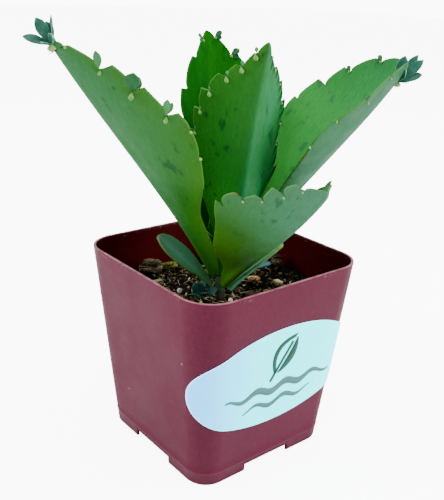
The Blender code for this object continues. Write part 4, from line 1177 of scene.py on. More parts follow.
def make_pot():
    """Thin moulded wall on four hollow corner feet, with a fine bead round it at floor level."""
    floor_top = FOOT_HEIGHT + FLOOR_THICKNESS
    proud = BEAD_PROUD
    outside = [
        (FOOT_HEIGHT, POT_WALL), (0.12 * MM, POT_WALL), (0.0, POT_WALL - 0.12 * MM), (0.0, 0.15 * MM),
        (0.15 * MM, 0.0), (BEAD_HEIGHT - 0.18 * MM, 0.0), (BEAD_HEIGHT - 0.06 * MM, -proud),
        (BEAD_HEIGHT + 0.06 * MM, -proud), (BEAD_HEIGHT + 0.2 * MM, 0.0),
    ]
    for share in np.linspace(0.12, 0.985, 22):
        outside.append((POT_HEIGHT * float(share), 0.0))
    rim = [
        (POT_HEIGHT - 0.22 * MM, 0.0), (POT_HEIGHT - 0.07 * MM, 0.06 * MM), (POT_HEIGHT, 0.22 * MM),
        (POT_HEIGHT, POT_WALL - 0.22 * MM), (POT_HEIGHT - 0.07 * MM, POT_WALL - 0.06 * MM),
        (POT_HEIGHT - 0.22 * MM, POT_WALL),
    ]
    inside = [(POT_HEIGHT * float(share), POT_WALL) for share in np.linspace(0.98, 0.12, 16)]
    profile = outside + rim + inside + [(floor_top, POT_WALL)]
    rings = [rounded_square(z, inset, 16, 12) for z, inset in profile]
    wobbly = []
    for ring in rings:
        row = []
        for p in ring:
            drift = 0.10 * MM * noise.noise(Vector((p.x, p.y, p.z)) * 32.0) * (p.z / POT_HEIGHT)
            way = Vector((p.x, p.y, 0)).normalized()
            row.append(p + way * drift)
        wobbly.append(row)
    points, faces = capped_rings(wobbly)
    shape = bpy.data.meshes.new("rough pot")
    shape.from_pydata([tuple(p) for p in points], [], faces)
    bm = bmesh.new()
    bm.from_mesh(shape)
    bmesh.ops.recalc_face_normals(bm, faces=bm.faces)
    bm.to_mesh(shape)
    bm.free()
    rough = bpy.data.objects.new("rough pot", shape)
    bpy.context.scene.collection.objects.link(rough)
    cutters = []
    wide = POT_TOP_WIDTH * 1.5
    for size in ((FOOT_NOTCH_WIDTH, wide, FOOT_HEIGHT * 2), (wide, FOOT_NOTCH_WIDTH, FOOT_HEIGHT * 2)):
        form = box_form(size, (0, 0, -FOOT_HEIGHT * 0.13))
        cutters.append(cut(rough, f"notch cutter {len(cutters)}", *form))
    for ix in (-1, 1):
        for iy in (-1, 1):
            rings = []
            for z in (FOOT_HEIGHT - 2 * MM, floor_top + 2 * MM):
                rings.append([
                    (ix * DRAIN_HOLE_SPACING / 2 + DRAIN_HOLE_RADIUS * math.cos(math.pi * k / 12),
                     iy * DRAIN_HOLE_SPACING / 2 + DRAIN_HOLE_RADIUS * math.sin(math.pi * k / 12), z)
                    for k in range(24)
                ])
            cutters.append(cut(rough, f"drain cutter {len(cutters)}", *capped_rings(rings)))
    bpy.context.view_layer.update()
    graph = bpy.context.evaluated_depsgraph_get()
    result = bpy.data.meshes.new_from_object(rough.evaluated_get(graph))
    for cutter in cutters:
        bpy.data.objects.remove(cutter, do_unlink=True)
    bpy.data.objects.remove(rough, do_unlink=True)
    result.name = "moulded_pot"
    # Marks the inner wall and floor, which the pot finish paints with shade.
    result.attributes.new("inside", "FLOAT", "POINT").data.foreach_set(
        "value", [1.0 if within_wall(point.co) else 0.0 for point in result.vertices]
    )
    result.transform(Matrix.Translation(AXIS))
    finished("moulded_pot", result, POT, ("pot",), sharp=40)


def pot_skin_point(along, z, outset):
    """Point on the pot's wall: along runs from the middle of the front (-Y) face."""
    half, radius = pot_half_width(z), pot_corner(z)
    flat = half - radius
    arc = radius * math.pi / 2
    side = 1 if along >= 0 else -1
    run = abs(along)
    reach = radius + outset
    if run <= flat:
        x, y = run, -(half + outset)
    elif run <= flat + arc:
        angle = (run - flat) / radius
        x, y = flat + reach * math.sin(angle), -flat - reach * math.cos(angle)
    else:
        x, y = half + outset, -flat + (run - flat - arc)
    return Vector((side * x, y, z))


def make_label():
    """A thin oval film wrapped round the front of the pot, its edge slightly rounded."""
    columns, rows = 110, 22
    inner, outer = LABEL_LIFT, LABEL_LIFT + LABEL_THICKNESS
    grid, xs, ys, edges = [], [], [], []
    for outset in (outer, inner):
        for i in range(columns + 1):
            across = -math.cos(math.pi * (i + 0.25) / (columns + 0.5))
            reach = math.sqrt(max(1 - across * across, 0.0))
            for j in range(rows + 1):
                share = math.sin((2 * j / rows - 1) * math.pi / 2)
                up = share * reach * LABEL_HEIGHT / 2
                at_edge = abs(share) > 0.999 or i in (0, columns)
                lift = (outer + inner) / 2 if at_edge else outset
                grid.append(pot_skin_point(across * LABEL_LENGTH / 2, LABEL_MIDDLE_Z + up, lift))
                xs.append(across * LABEL_LENGTH / 2 / MM)
                ys.append(up / MM)
                edges.append((1 - math.sqrt(across**2 + (share * reach) ** 2)) * LABEL_HEIGHT / 2 / MM)
    per = (columns + 1) * (rows + 1)
    faces = []
    for layer in (0, 1):
        for i in range(columns):
            for j in range(rows):
                a = layer * per + i * (rows + 1) + j
                b = a + rows + 1
                faces.append((a, b, b + 1, a + 1) if layer == 0 else (a + 1, b + 1, b, a))
    rim = [(i, 0) for i in range(columns)] + [(columns, j) for j in range(rows)]
    rim += [(i, rows) for i in range(columns, 0, -1)] + [(0, j) for j in range(rows, 0, -1)]
    ids = [i * (rows + 1) + j for i, j in rim]
    points = list(grid)
    welded = {per + k: k for k in ids}
    faces = [tuple(welded.get(k, k) for k in face) for face in faces]
    used = sorted({k for face in faces for k in face})
    remap = {k: n for n, k in enumerate(used)}
    faces = [tuple(remap[k] for k in face) for face in faces]
    faces = [tuple(dict.fromkeys(face)) for face in faces]
    faces = [face for face in faces if len(face) > 2]
    values = {
        "label_x": [xs[k] for k in used], "label_y": [ys[k] for k in used],
        "label_edge": [edges[k] for k in used],
    }
    closed_piece("label_film", [points[k] for k in used], faces, LABEL, ("label",), values)


def inlay(clay, outline, thickness=0.03 * MM):
    """A flat printed shape on the label from a strip of (x, y) pairs given left and right."""
    lift = LABEL_LIFT + LABEL_THICKNESS
    rings = []
    for (ax, ay), (bx, by) in outline:
        ring = []
        for t, level in ((0, 0.0), (0, thickness), (0.5, thickness), (1, thickness), (1, 0.0), (0.5, 0.0)):
            x, y = ax + (bx - ax) * t, ay + (by - ay) * t
            ring.append(pot_skin_point(x * MM, LABEL_MIDDLE_Z + y * MM, lift - 0.01 * MM + level))
        rings.append(ring)
    points, faces = capped_rings(rings)
    clay.add(points, faces)


def make_label_marks():
    """Plain print: one almond leaf with a midrib and one filled half, and two rolling lines."""
    leaf = Clay()
    middle_x, middle_y, tilt = 1.2, 6.0, math.radians(58)
    long, wide, line = 6.6, 4.6, 1.7

    def turned(x, y):
        return (
            middle_x + x * math.cos(tilt) - y * math.sin(tilt),
            middle_y + x * math.sin(tilt) + y * math.cos(tilt),
        )

    stations = [-1 + 2 * i / 40 for i in range(41)]
    bows = [(t * long, wide * (1 - t * t)) for t in stations]
    inlay(leaf, [(turned(x, bow), turned(x, max(bow - line, 0.0))) for x, bow in bows])
    inlay(leaf, [(turned(x, -0.75 * bow), turned(x, -0.12 * bow - 0.3)) for x, bow in bows[3:-3]])
    stalk = [long * (-1.3 + 1.9 * i / 20) for i in range(21)]
    inlay(leaf, [(turned(x, 0.7), turned(x, -0.35)) for x in stalk])
    leaf.piece("label_leaf_mark", PRINT_GREEN)
    waves = Clay()
    for level, start, end, half in ((-3.6, -18.5, 19.5, 1.15), (-8.0, -12.0, 12.5, 0.8)):
        strip = []
        for i in range(81):
            x = start + (end - start) * i / 80
            y = level + 0.85 * math.sin(x * 0.62)
            thin = half * min(1.0, 0.25 + 2.4 * min(i, 80 - i) / 80)
            strip.append(((x, y + thin), (x, y - thin)))
        inlay(waves, strip)
    waves.piece("label_wave_marks", PRINT_GREY)


# ---------------------------------------------------------------- chips on the mix


def slab(length, width, thickness, chance, steps=16, around=22):
    """One ragged layer of bark along +X, furrowed along its grain."""
    seed = chance.uniform(0, 50)
    rings = []
    for i in range(steps + 1):
        t = -1 + 2 * i / steps
        end = max(1 - abs(t) ** 5, 0.05) ** (0.4 + 0.35 * math.sin(seed + 2.0 * t))
        ring = []
        for k in range(around):
            turn = 2 * math.pi * k / around
            c, s = math.cos(turn), math.sin(turn)
            y = math.copysign(abs(c) ** 0.6, c)
            z = math.copysign(abs(s) ** 0.75, s)
            furrow = noise.noise(Vector((t * 1.6 + seed, c * 5.0, s * 5.0)))
            ragged = noise.noise(Vector((t * 5.0 + seed, c * 2.0, s * 2.0)))
            size = end * (1 + 0.42 * furrow + 0.34 * ragged)
            ring.append((
                length / 2 * t * (1 + 0.08 * ragged),
                width / 2 * y * size,
                thickness / 2 * z * size * (1 + 0.3 * furrow),
            ))
        rings.append(ring)
    return capped_rings(rings)


def make_chips():
    """Layered bark chips and the dry scrap of leaf."""
    for number, (node, (length, width, thickness, tilt, turn, layers)) in enumerate(CHIPS.items()):
        chance = random.Random(number + 40)
        low, high = (Vector(corner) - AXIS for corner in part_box(node))
        middle = (low + high) / 2
        clay = Clay()
        lay = Matrix.Rotation(math.radians(turn), 4, "Z") @ Matrix.Rotation(math.radians(tilt), 4, "Y")
        for layer in range(layers):
            share = (layer + 0.5) / layers - 0.5
            size = 1.0 - 0.12 * layer * chance.uniform(0.4, 1.2)
            thick = thickness / layers * 1.25 * MM
            points, faces = slab(length * size * MM, width * size * MM, thick, chance)
            nudge = Vector((
                chance.uniform(-0.05, 0.05) * length, chance.uniform(-0.1, 0.1) * width, share * thickness
            )) * MM
            skew = Matrix.Rotation(chance.uniform(-0.12, 0.12), 4, "Z")
            tone = chance.random()
            clay.add([middle + (lay @ (skew @ Vector(p) + nudge)) for p in points], faces, tone=tone)
        finish = DRY if node == "leaf_scrap_dry" else CHIP_FINISHES.get(node, BARK)
        clay.piece(node.replace("bark_chip", "bark") + "_piece", finish, (node,))


def make_perlite():
    """White perlite grains, pitted and uneven."""
    for number in range(1, 6):
        node = f"perlite_{number}"
        low, high = (Vector(corner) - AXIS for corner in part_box(node))
        middle = (low + high) / 2
        bm = bmesh.new()
        bmesh.ops.create_icosphere(bm, subdivisions=4, radius=(high.x - low.x) * 0.42)
        for vert in bm.verts:
            spot = vert.co * 1400.0 + Vector((number * 3.0, 0, 0))
            vert.co *= 1.0 + 0.34 * noise.noise(spot * 0.6) + 0.12 * noise.noise(spot * 2.2)
            vert.co += middle
        bm.verts.ensure_lookup_table()
        points = [vert.co.copy() for vert in bm.verts]
        faces = [tuple(v.index for v in face.verts) for face in bm.faces]
        bm.free()
        closed_piece(node.replace("_", "_grain_"), points, faces, PERLITE, (node,))


# ---------------------------------------------------------------- finishes of the pieces


def pot_finish():
    """Maroon plastic: scuffs, a painted highlight along the lip, chafing below it, a painted highlight on
    the bead, dust, and painted shade on the inside.
    """
    f = Finish("maroon pot plastic", 0.40, 0.15)
    spot = f.place()
    height = f.node("ShaderNodeSeparateXYZ", Vector=spot).outputs["Z"]
    inside = f.attribute("inside")
    drift = f.clouds(spot, 34.0, 3.0)
    body = f.ramp(drift, ((0.25, (0.084, 0.0046, 0.0205)), (0.75, (0.102, 0.0064, 0.0270))))
    # Painted shade: the inside wall and floor get a much darker colour, as if in shadow.
    body = f.over(inside, body, (0.040, 0.0006, 0.0012))
    grain = f.clouds(spot, 900.0, 3.0, 0.6)
    body = f.over(0.25, body, f.ramp(grain, ((0.3, (0.6, 0.6, 0.6)), (0.7, (1.4, 1.4, 1.4)))), "MULTIPLY")
    scuffs = f.clouds(f.stretched(spot, (1.0, 1.0, 5.0)), 130.0, 4.0, 0.65)
    body = f.over(f.math("MULTIPLY", f.between(scuffs, 0.66, 0.78), 0.14), body, (0.36, 0.20, 0.24))
    # Painted highlight: a pale band along the lip, broken into patches, stands for light catching its edge.
    lip = f.between(height, POT_HEIGHT - 0.22 * MM, POT_HEIGHT - 0.04 * MM)
    lip_highlight_patches = f.between(f.clouds(spot, 300.0, 3.0), 0.35, 0.6, 0.35, 1.0)
    body = f.over(f.math("MULTIPLY", f.math("MULTIPLY", lip, lip_highlight_patches), 0.7), body, (0.42, 0.17, 0.19))
    near_lip = f.between(height, POT_HEIGHT - 1.8 * MM, POT_HEIGHT - 0.4 * MM)
    chafed = f.between(f.clouds(f.stretched(spot, (1.0, 1.0, 3.0)), 420.0, 4.0, 0.7), 0.60, 0.68)
    body = f.over(f.math("MULTIPLY", f.math("MULTIPLY", near_lip, chafed), 0.35), body, (0.45, 0.26, 0.28))
    # Painted highlight: the bead line is painted lighter, as if it caught the light from above.
    off_bead = f.math("ABSOLUTE", f.math("SUBTRACT", height, BEAD_HEIGHT))
    bead = f.between(off_bead, 0.22 * MM, 0.08 * MM)
    body = f.over(f.math("MULTIPLY", bead, 0.3), body, (0.22, 0.05, 0.075))
    dust = f.math("MULTIPLY", f.between(f.cells(spot, 210.0), 0.085, 0.05),
                  f.between(f.clouds(spot, 75.0, 1.0), 0.60, 0.64))
    body = f.over(f.math("MULTIPLY", dust, 0.45), body, (0.60, 0.50, 0.48))
    f.colour(body)
    # Less shine on the inside goes with its painted shade.
    f.put(f.shader.inputs["Specular IOR Level"], f.between(inside, 0.0, 1.0, 0.15, 0.03))
    f.rough(f.between(f.clouds(spot, 60.0, 4.0), 0.3, 0.7, 0.36, 0.50))
    f.relief(f.math("ADD", f.math("MULTIPLY", grain, 0.5), drift), 0.00008, 0.6)
    return f.material


def label_finish():
    """Pale cyan film, bluer at one end, with a faint painted glow: it emits its own colour so it looks
    brighter than the lamps light it.
    """
    f = Finish("label film", 0.32, 0.05)
    x, edge = f.attribute("label_x"), f.attribute("label_edge")
    drift = f.clouds(f.place(), 40.0, 2.0)
    slide = f.math("ADD", f.math("DIVIDE", x, 58.0), f.math("MULTIPLY", f.math("SUBTRACT", drift, 0.5), 0.2))
    wide = f.math("ADD", slide, 0.5)
    body = f.ramp(wide, (
        (0.0, (0.10, 0.42, 1.0)), (0.16, (0.06, 0.62, 1.0)), (0.36, (0.0, 0.90, 1.0)),
        (0.75, (0.0, 0.95, 1.0)), (1.0, (0.2, 0.98, 1.0)),
    ))
    body = f.over(f.math("MULTIPLY", f.between(edge, 0.26, 0.12), 0.55), body, (0.60, 0.95, 1.0))
    speck = f.between(f.cells(f.place(), 150.0), 0.04, 0.02)
    body = f.over(f.math("MULTIPLY", speck, 0.5), body, (0.12, 0.2, 0.3))
    f.colour(body)
    # Painted glow: the film emits its own colour, standing in for more light than the lamps give it.
    f.put(f.shader.inputs["Emission Color"], body)
    f.shader.inputs["Emission Strength"].default_value = 2.2
    f.rough(f.between(drift, 0.3, 0.7, 0.26, 0.38))
    f.relief(f.clouds(f.place(), 500.0, 3.0), 0.00003, 0.5)
    return f.material


def print_finish(name, colour):
    """Slightly uneven ink."""
    f = Finish(name, 0.45, 0.3)
    ink = f.clouds(f.place(), 700.0, 3.0)
    low = tuple(part * 0.85 for part in colour)
    f.colour(f.ramp(ink, ((0.3, low), (0.7, colour))))
    return f.material


def mix_finish(name, dark, light):
    """Dark, damp, lumpy mix."""
    f = Finish(name, 0.95, 0.1)
    spot = f.place()
    lumps = f.clouds(spot, 700.0, 4.0, 0.65)
    body = f.ramp(lumps, ((0.35, dark), (0.68, light)))
    f.colour(body)
    f.relief(f.clouds(spot, 2400.0, 4.0, 0.7), 0.00025, 0.9)
    return f.material


def crumb_finish(name, stops, spread=900.0, specular=0.15):
    """Grains whose colour changes from one to the next."""
    f = Finish(name, 0.85, specular)
    spot = f.place()
    patch = f.clouds(spot, spread, 1.0, 0.5)
    fine = f.clouds(spot, 5200.0, 3.0, 0.6)
    body = f.ramp(patch, stops)
    body = f.over(0.5, body, f.ramp(fine, ((0.3, (0.5, 0.5, 0.5)), (0.7, (1.5, 1.5, 1.5)))), "MULTIPLY")
    f.colour(body)
    f.relief(fine, 0.00012, 0.8)
    return f.material


def bark_finish(name, dark, middle, light):
    """Grained bark, a little different in each layer."""
    f = Finish(name, 0.85, 0.15)
    tone = f.attribute("tone")
    spot = f.place()
    grain = f.clouds(f.stretched(spot, (1.0, 2.6, 1.0), (0.0, 0.0, 0.7)), 1100.0, 5.0, 0.65)
    pick = f.math("ADD", f.math("MULTIPLY", grain, 0.8), f.math("MULTIPLY", tone, 0.2))
    f.colour(f.ramp(pick, ((0.36, dark), (0.52, middle), (0.68, light))))
    f.relief(grain, 0.0003, 0.9)
    return f.material


def plantlet_finish(name, bud, leaf, rim_colour, tint):
    """Pale buds and darker leaves with paler rims."""
    f = Finish(name, 0.45, 0.2)
    leafy, rim = f.attribute("leafy"), f.attribute("rim")
    spot = f.place()
    mottled = f.clouds(spot, 620.0, 3.0)
    bloom = f.clouds(spot, 1900.0, 3.0, 0.6)
    leaf_skin = f.ramp(mottled, ((0.3, leaf), (0.72, tint)))
    leaf_skin = f.over(f.attribute("pale"), leaf_skin, (0.075, 0.30, 0.095))
    leaf_skin = f.over(f.between(rim, 0.72, 1.05), leaf_skin, rim_colour)
    low = tuple(part * 0.6 for part in bud)
    bud_skin = f.ramp(bloom, ((0.3, low), (0.62, bud)))
    f.colour(f.over(leafy, bud_skin, leaf_skin))
    f.rough(f.between(bloom, 0.3, 0.7, 0.36, 0.58))
    f.relief(bloom, 0.0001, 0.5)
    return f.material


def stem_finish():
    """Stem skin, dark and brownish low down by the mix, green above."""
    f = Finish("stem skin", 0.5, 0.2)
    spot = f.place()
    height = f.node("ShaderNodeSeparateXYZ", Vector=spot).outputs["Z"]
    high = f.math("DIVIDE", f.math("SUBTRACT", height, SOIL_LEVEL), 0.0115)
    patch = f.clouds(f.stretched(spot, (1.0, 1.0, 0.35)), 900.0, 4.0)
    body = f.ramp(f.math("ADD", high, f.math("MULTIPLY", f.math("SUBTRACT", patch, 0.5), 0.5)), (
        (0.0, (0.035, 0.03, 0.015)), (0.22, (0.05, 0.09, 0.045)),
        (0.55, (0.05, 0.15, 0.07)), (1.0, (0.05, 0.16, 0.05)),
    ))
    f.colour(body)
    f.relief(patch, 0.0002, 0.7)
    return f.material


POT = pot_finish()
LABEL = label_finish()
PRINT_GREEN = print_finish("green print", (0.006, 0.085, 0.045))
PRINT_GREY = print_finish("grey print", (0.060, 0.20, 0.20))
MIX = mix_finish("potting mix", (0.0008, 0.0007, 0.0005), (0.008, 0.006, 0.003))
MIX_CRUMBS = crumb_finish("dark crumbs", (
    (0.25, (0.0008, 0.0007, 0.0005)), (0.5, (0.004, 0.003, 0.002)), (0.62, (0.018, 0.014, 0.007)),
    (0.72, (0.07, 0.055, 0.022)), (0.85, (0.006, 0.005, 0.003)),
), 620.0, 0.05)
MIX_BROWN = crumb_finish("brown slivers", (
    (0.3, (0.006, 0.004, 0.002)), (0.5, (0.060, 0.044, 0.014)), (0.68, (0.26, 0.20, 0.075)),
), 700.0, 0.08)
MIX_TAN = crumb_finish("tan slivers", (
    (0.3, (0.13, 0.095, 0.03)), (0.5, (0.36, 0.29, 0.11)), (0.7, (0.75, 0.66, 0.38)),
), 500.0, 0.1)
FIBRE = crumb_finish("pale fibres", ((0.3, (0.10, 0.08, 0.03)), (0.7, (0.62, 0.54, 0.32))), 260.0)
PERLITE = crumb_finish("perlite", ((0.25, (0.42, 0.38, 0.30)), (0.6, (0.92, 0.90, 0.84))), 1300.0, 0.1)
BARK = bark_finish("bark", (0.002, 0.0018, 0.001), (0.050, 0.038, 0.016), (0.26, 0.21, 0.10))
CHIP_FINISHES = {
    "bark_chip_back_curled": bark_finish(
        "mossy bark", (0.008, 0.008, 0.002), (0.10, 0.10, 0.012), (0.36, 0.33, 0.08),
    ),
    "bark_chip_back_pale": bark_finish(
        "pale bark", (0.02, 0.015, 0.006), (0.26, 0.22, 0.11), (0.70, 0.64, 0.42),
    ),
    "bark_chip_middle_orange": bark_finish(
        "orange bark", (0.03, 0.010, 0.002), (0.42, 0.20, 0.035), (0.95, 0.80, 0.45),
    ),
    "bark_chip_middle_dark": bark_finish(
        "red brown bark", (0.008, 0.003, 0.003), (0.04, 0.016, 0.014), (0.12, 0.06, 0.05),
    ),
    "bark_chip_side_tan": bark_finish(
        "tan bark", (0.04, 0.022, 0.008), (0.34, 0.25, 0.10), (0.80, 0.70, 0.45),
    ),
}
DRY = bark_finish("dry leaf", (0.03, 0.016, 0.006), (0.10, 0.058, 0.022), (0.24, 0.15, 0.07))
PLANTLET = plantlet_finish(
    "bud and plantlet skin", (0.30, 0.42, 0.13),
    (0.010, 0.075, 0.045), (0.16, 0.42, 0.22), (0.028, 0.145, 0.095),
)
BULBIL = plantlet_finish(
    "bulbil skin", (0.15, 0.36, 0.07),
    (0.004, 0.065, 0.016), (0.06, 0.24, 0.06), (0.012, 0.120, 0.030),
)
SEEDLING = plantlet_finish(
    "seedling skin", (0.08, 0.10, 0.04),
    (0.004, 0.030, 0.022), (0.02, 0.10, 0.07), (0.012, 0.075, 0.060),
)
BLUE_SEEDLING = plantlet_finish(
    "blue seedling skin", (0.08, 0.10, 0.06),
    (0.006, 0.055, 0.085), (0.04, 0.17, 0.19), (0.016, 0.115, 0.150),
)
YOUNG = plantlet_finish(
    "young leaf skin", (0.2, 0.3, 0.08),
    (0.010, 0.170, 0.012), (0.16, 0.42, 0.07), (0.035, 0.30, 0.045),
)
STEM = stem_finish()

RIM_GREEN = (0.09, 0.25, 0.03)
LEAF_FINISHES = {
    "leaf_left_large": blade_finish(
        "left blade skin",
        under=(
            (0.0, (0.022, 0.150, 0.004)), (0.2, (0.018, 0.128, 0.004)), (0.38, (0.013, 0.107, 0.005)),
            (0.55, (0.030, 0.150, 0.028)), (1.0, (0.040, 0.165, 0.055)),
        ),
        upper=((0.0, (0.020, 0.110, 0.012)), (0.5, (0.020, 0.170, 0.025)), (1.0, (0.028, 0.170, 0.045))),
        bloom=(0.075, 0.215, 0.110), bloom_and_sheen_share=0.55,
        blotch=(0.006, 0.052, 0.016), blotch_share=0.62, rim=RIM_GREEN,
        warm=0.75,
    ),
    "leaf_right_large": blade_finish(
        "right blade skin",
        under=((0.0, (0.026, 0.165, 0.045)), (0.5, (0.026, 0.145, 0.062)), (1.0, (0.026, 0.125, 0.060))),
        upper=(
            (0.0, (0.013, 0.128, 0.004)), (0.35, (0.026, 0.232, 0.022)), (0.65, (0.034, 0.285, 0.048)),
            (1.0, (0.022, 0.175, 0.050)),
        ),
        bloom=(0.060, 0.22, 0.10), bloom_and_sheen_share=0.2,
        blotch=(0.015, 0.085, 0.045), blotch_share=0.5, rim=(0.06, 0.22, 0.02),
    ),
    "leaf_front_upper": blade_finish(
        "front blade skin",
        # Painted light: the under colours are much brighter towards the base, lifting the lower blade out of
        # the shade of the leaves round it.
        under=(
            (0.0, (0.008, 0.260, 0.003)), (0.35, (0.013, 0.270, 0.009)), (0.6, (0.018, 0.170, 0.012)),
            (1.0, (0.022, 0.120, 0.012)),
        ),
        upper=((0.0, (0.01, 0.09, 0.01)), (1.0, (0.016, 0.13, 0.02))),
        bloom=(0.030, 0.150, 0.055), bloom_and_sheen_share=0.2,
        blotch=(0.002, 0.045, 0.008), blotch_share=0.65, rim=RIM_GREEN,
        # Painted sheen on the right half; painted shade between the pleats of the right margin.
        painted_shading_half=(1.0, (0.032, 0.200, 0.092), 0.85),
        specular=0.04, warm=0.2, margin_pleat_shade=(1.0, 3.3, 1.0),
    ),
    "leaf_back_upper": blade_finish(
        "back blade skin",
        under=((0.0, (0.003, 0.06, 0.003)), (1.0, (0.006, 0.08, 0.006))),
        upper=(
            (0.0, (0.0003, 0.075, 0.001)), (0.5, (0.0008, 0.095, 0.0015)), (1.0, (0.004, 0.120, 0.004)),
        ),
        bloom=(0.008, 0.125, 0.004), bloom_and_sheen_share=0.35,
        blotch=(0.001, 0.045, 0.003), blotch_share=0.4, rim=(0.05, 0.20, 0.03),
        # Painted shade on one half and between the pleats of the other margin.
        painted_shading_half=(1.0, (0.0, 0.056, 0.001), 0.7),
        specular=0.01, warm=0.0, margin_pleat_shade=(-1.0, 4.2, 0.3),
    ),
    "leaf_front_lower": blade_finish(
        "lower blade skin",
        under=(
            (0.0, (0.044, 0.195, 0.001)), (0.3, (0.035, 0.135, 0.001)), (0.5, (0.030, 0.122, 0.014)),
            (0.75, (0.042, 0.165, 0.070)), (1.0, (0.055, 0.175, 0.090)),
        ),
        upper=((0.0, (0.012, 0.07, 0.008)), (1.0, (0.035, 0.15, 0.06))),
        bloom=(0.070, 0.200, 0.115), bloom_and_sheen_share=0.45,
        blotch=(0.012, 0.062, 0.026), blotch_share=0.6, rim=RIM_GREEN,
    ),
    "leaf_back_lower": blade_finish(
        "far lower blade skin",
        under=((0.0, (0.012, 0.06, 0.006)), (1.0, (0.030, 0.14, 0.05))),
        upper=((0.0, (0.010, 0.07, 0.006)), (1.0, (0.025, 0.14, 0.035))),
        bloom=(0.06, 0.19, 0.10), bloom_and_sheen_share=0.4,
        blotch=(0.010, 0.06, 0.02), blotch_share=0.5, rim=RIM_GREEN,
    ),
    "leaf_left_small": blade_finish(
        "small left blade skin",
        under=((0.0, (0.030, 0.140, 0.030)), (0.5, (0.045, 0.150, 0.012)), (1.0, (0.045, 0.085, 0.02))),
        upper=((0.0, (0.052, 0.215, 0.062)), (0.6, (0.030, 0.185, 0.088)), (1.0, (0.040, 0.145, 0.062))),
        bloom=(0.10, 0.26, 0.20), bloom_and_sheen_share=0.7,
        blotch=(0.09, 0.035, 0.012), blotch_share=0.5, rim=(0.14, 0.12, 0.03),
    ),
    "leaf_right_small": blade_finish(
        "small right blade skin",
        under=((0.0, (0.10, 0.38, 0.20)), (0.6, (0.09, 0.38, 0.16)), (1.0, (0.13, 0.32, 0.06))),
        upper=((0.0, (0.09, 0.36, 0.18)), (1.0, (0.10, 0.34, 0.09))),
        bloom=(0.16, 0.42, 0.28), bloom_and_sheen_share=0.75,
        blotch=(0.02, 0.08, 0.03), blotch_share=0.4, rim=(0.10, 0.22, 0.05),
    ),
}


# ---------------------------------------------------------------- the scene

# Lamps: heading and lift in degrees, distance and width in metres, watts, colour
LAMPS = (
    ("top light", 235, 74, 0.75, 0.5, 3.3, (1.0, 1.0, 1.0)),
    ("left light", 150, 22, 0.7, 0.45, 5.0, (0.93, 0.96, 1.0)),
    ("right light", 312, 22, 0.7, 0.45, 5.8, (1.0, 1.0, 1.0)),
    ("back light", 50, 45, 0.8, 0.5, 2.4, (1.0, 1.0, 1.0)),
)

# Camera: degrees round the pot, above it and of roll, the point it looks at and how far off it
# stands in millimetres, and its lens
CAMERA_TURN, CAMERA_LIFT, CAMERA_ROLL = -39.49, 20.45, 2.26
CAMERA_TARGET = (-0.05, 0.0, 56.37)
CAMERA_DISTANCE = 200.29
CAMERA_LENS = 51.66
FLOOR_GLOW = 8.4
BACKDROP_GLOW = 10.3
AIR_LIGHT = 1.05


def make_floor():
    """The plain pale floor."""
    size = 3.0
    shape = bpy.data.meshes.new("floor")
    corners = [(-size, -size, 0), (size, -size, 0), (size, size, 0), (-size, size, 0)]
    shape.from_pydata(corners, [], [(0, 1, 2, 3)])
    floor = bpy.data.objects.new("floor", shape)
    bpy.context.scene.collection.objects.link(floor)
    f = Finish("pale floor", 0.9, 0.0)
    f.shader.inputs["Base Color"].default_value = (0.82, 0.82, 0.82, 1.0)
    glow = f.node("ShaderNodeEmission")
    glow.inputs["Color"].default_value = (1.0, 1.0, 1.0, 1.0)
    glow.inputs["Strength"].default_value = FLOOR_GLOW
    seen = f.node("ShaderNodeLightPath").outputs["Is Camera Ray"]
    both = f.node("ShaderNodeAddShader")
    f.tree.links.new(f.shader.outputs[0], both.inputs[0])
    f.tree.links.new(glow.outputs[0], both.inputs[1])
    pick = f.node("ShaderNodeMixShader", Fac=seen)
    f.tree.links.new(f.shader.outputs[0], pick.inputs[1])
    f.tree.links.new(both.outputs[0], pick.inputs[2])
    f.tree.links.new(pick.outputs[0], f.tree.nodes["Material Output"].inputs["Surface"])
    shape.materials.append(f.material)


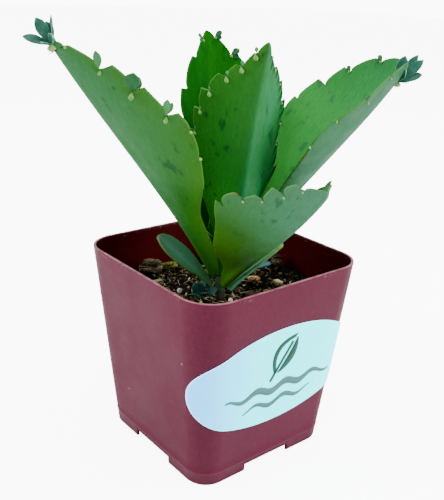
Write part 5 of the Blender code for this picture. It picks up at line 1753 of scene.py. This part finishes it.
def make_sky():
    """Even studio light and a plain pale backdrop."""
    world = bpy.data.worlds.new("studio air")
    bpy.context.scene.world = world
    world.use_nodes = True
    tree = world.node_tree
    tree.nodes.clear()
    seen = tree.nodes.new("ShaderNodeLightPath")
    air = tree.nodes.new("ShaderNodeBackground")
    air.inputs["Color"].default_value = (0.93, 0.97, 1.0, 1.0)
    air.inputs["Strength"].default_value = AIR_LIGHT
    backdrop = tree.nodes.new("ShaderNodeBackground")
    backdrop.inputs["Color"].default_value = (1.0, 1.0, 1.0, 1.0)
    backdrop.inputs["Strength"].default_value = BACKDROP_GLOW
    pick = tree.nodes.new("ShaderNodeMixShader")
    out = tree.nodes.new("ShaderNodeOutputWorld")
    tree.links.new(seen.outputs["Is Camera Ray"], pick.inputs[0])
    tree.links.new(air.outputs[0], pick.inputs[1])
    tree.links.new(backdrop.outputs[0], pick.inputs[2])
    tree.links.new(pick.outputs[0], out.inputs["Surface"])


def soft_lamp(name, heading, lift, distance, size, power, colour):
    """A round soft lamp that looks at the pot."""
    lamp = bpy.data.lights.new(name, "AREA")
    lamp.shape = "DISK"
    lamp.size = size
    lamp.energy = power
    lamp.color = colour
    made = bpy.data.objects.new(name, lamp)
    way = heading_way(heading, lift)
    made.location = AXIS + Vector((0, 0, 60 * MM)) + way * distance
    made.rotation_euler = way.to_track_quat("Z", "Y").to_euler()
    bpy.context.scene.collection.objects.link(made)


def make_camera():
    """The camera."""
    turn, lift, roll = (math.radians(angle) for angle in (CAMERA_TURN, CAMERA_LIFT, CAMERA_ROLL))
    back = Vector((math.sin(turn) * math.cos(lift), -math.cos(turn) * math.cos(lift), math.sin(lift)))
    level = Vector((0, 0, 1)).cross(back).normalized()
    rise = back.cross(level)
    right = math.cos(roll) * level + math.sin(roll) * rise
    up = math.cos(roll) * rise - math.sin(roll) * level
    target = AXIS + Vector(CAMERA_TARGET) * MM
    eye = bpy.data.cameras.new("camera")
    eye.sensor_width = 36.0
    eye.lens = CAMERA_LENS
    eye.clip_start = 0.005
    made = bpy.data.objects.new("camera", eye)
    turned = Matrix((right, up, back)).transposed().to_4x4()
    made.matrix_world = Matrix.Translation(target + back * CAMERA_DISTANCE * MM) @ turned
    bpy.context.scene.collection.objects.link(made)
    bpy.context.scene.camera = made


make_pot()
make_label()
make_label_marks()
make_soil()
make_loose_mix()
make_chips()
make_perlite()
make_stem()
for leaf_name, leaf_cut in LEAVES.items():
    make_blade(leaf_name, leaf_cut, LEAF_FINISHES[leaf_name])
make_bulbils()
make_margin_buds()
make_tip_plantlets()
make_soil_plantlets()
make_young_growth()
make_floor()
make_sky()
for lamp in LAMPS:
    soft_lamp(*lamp)
make_camera()
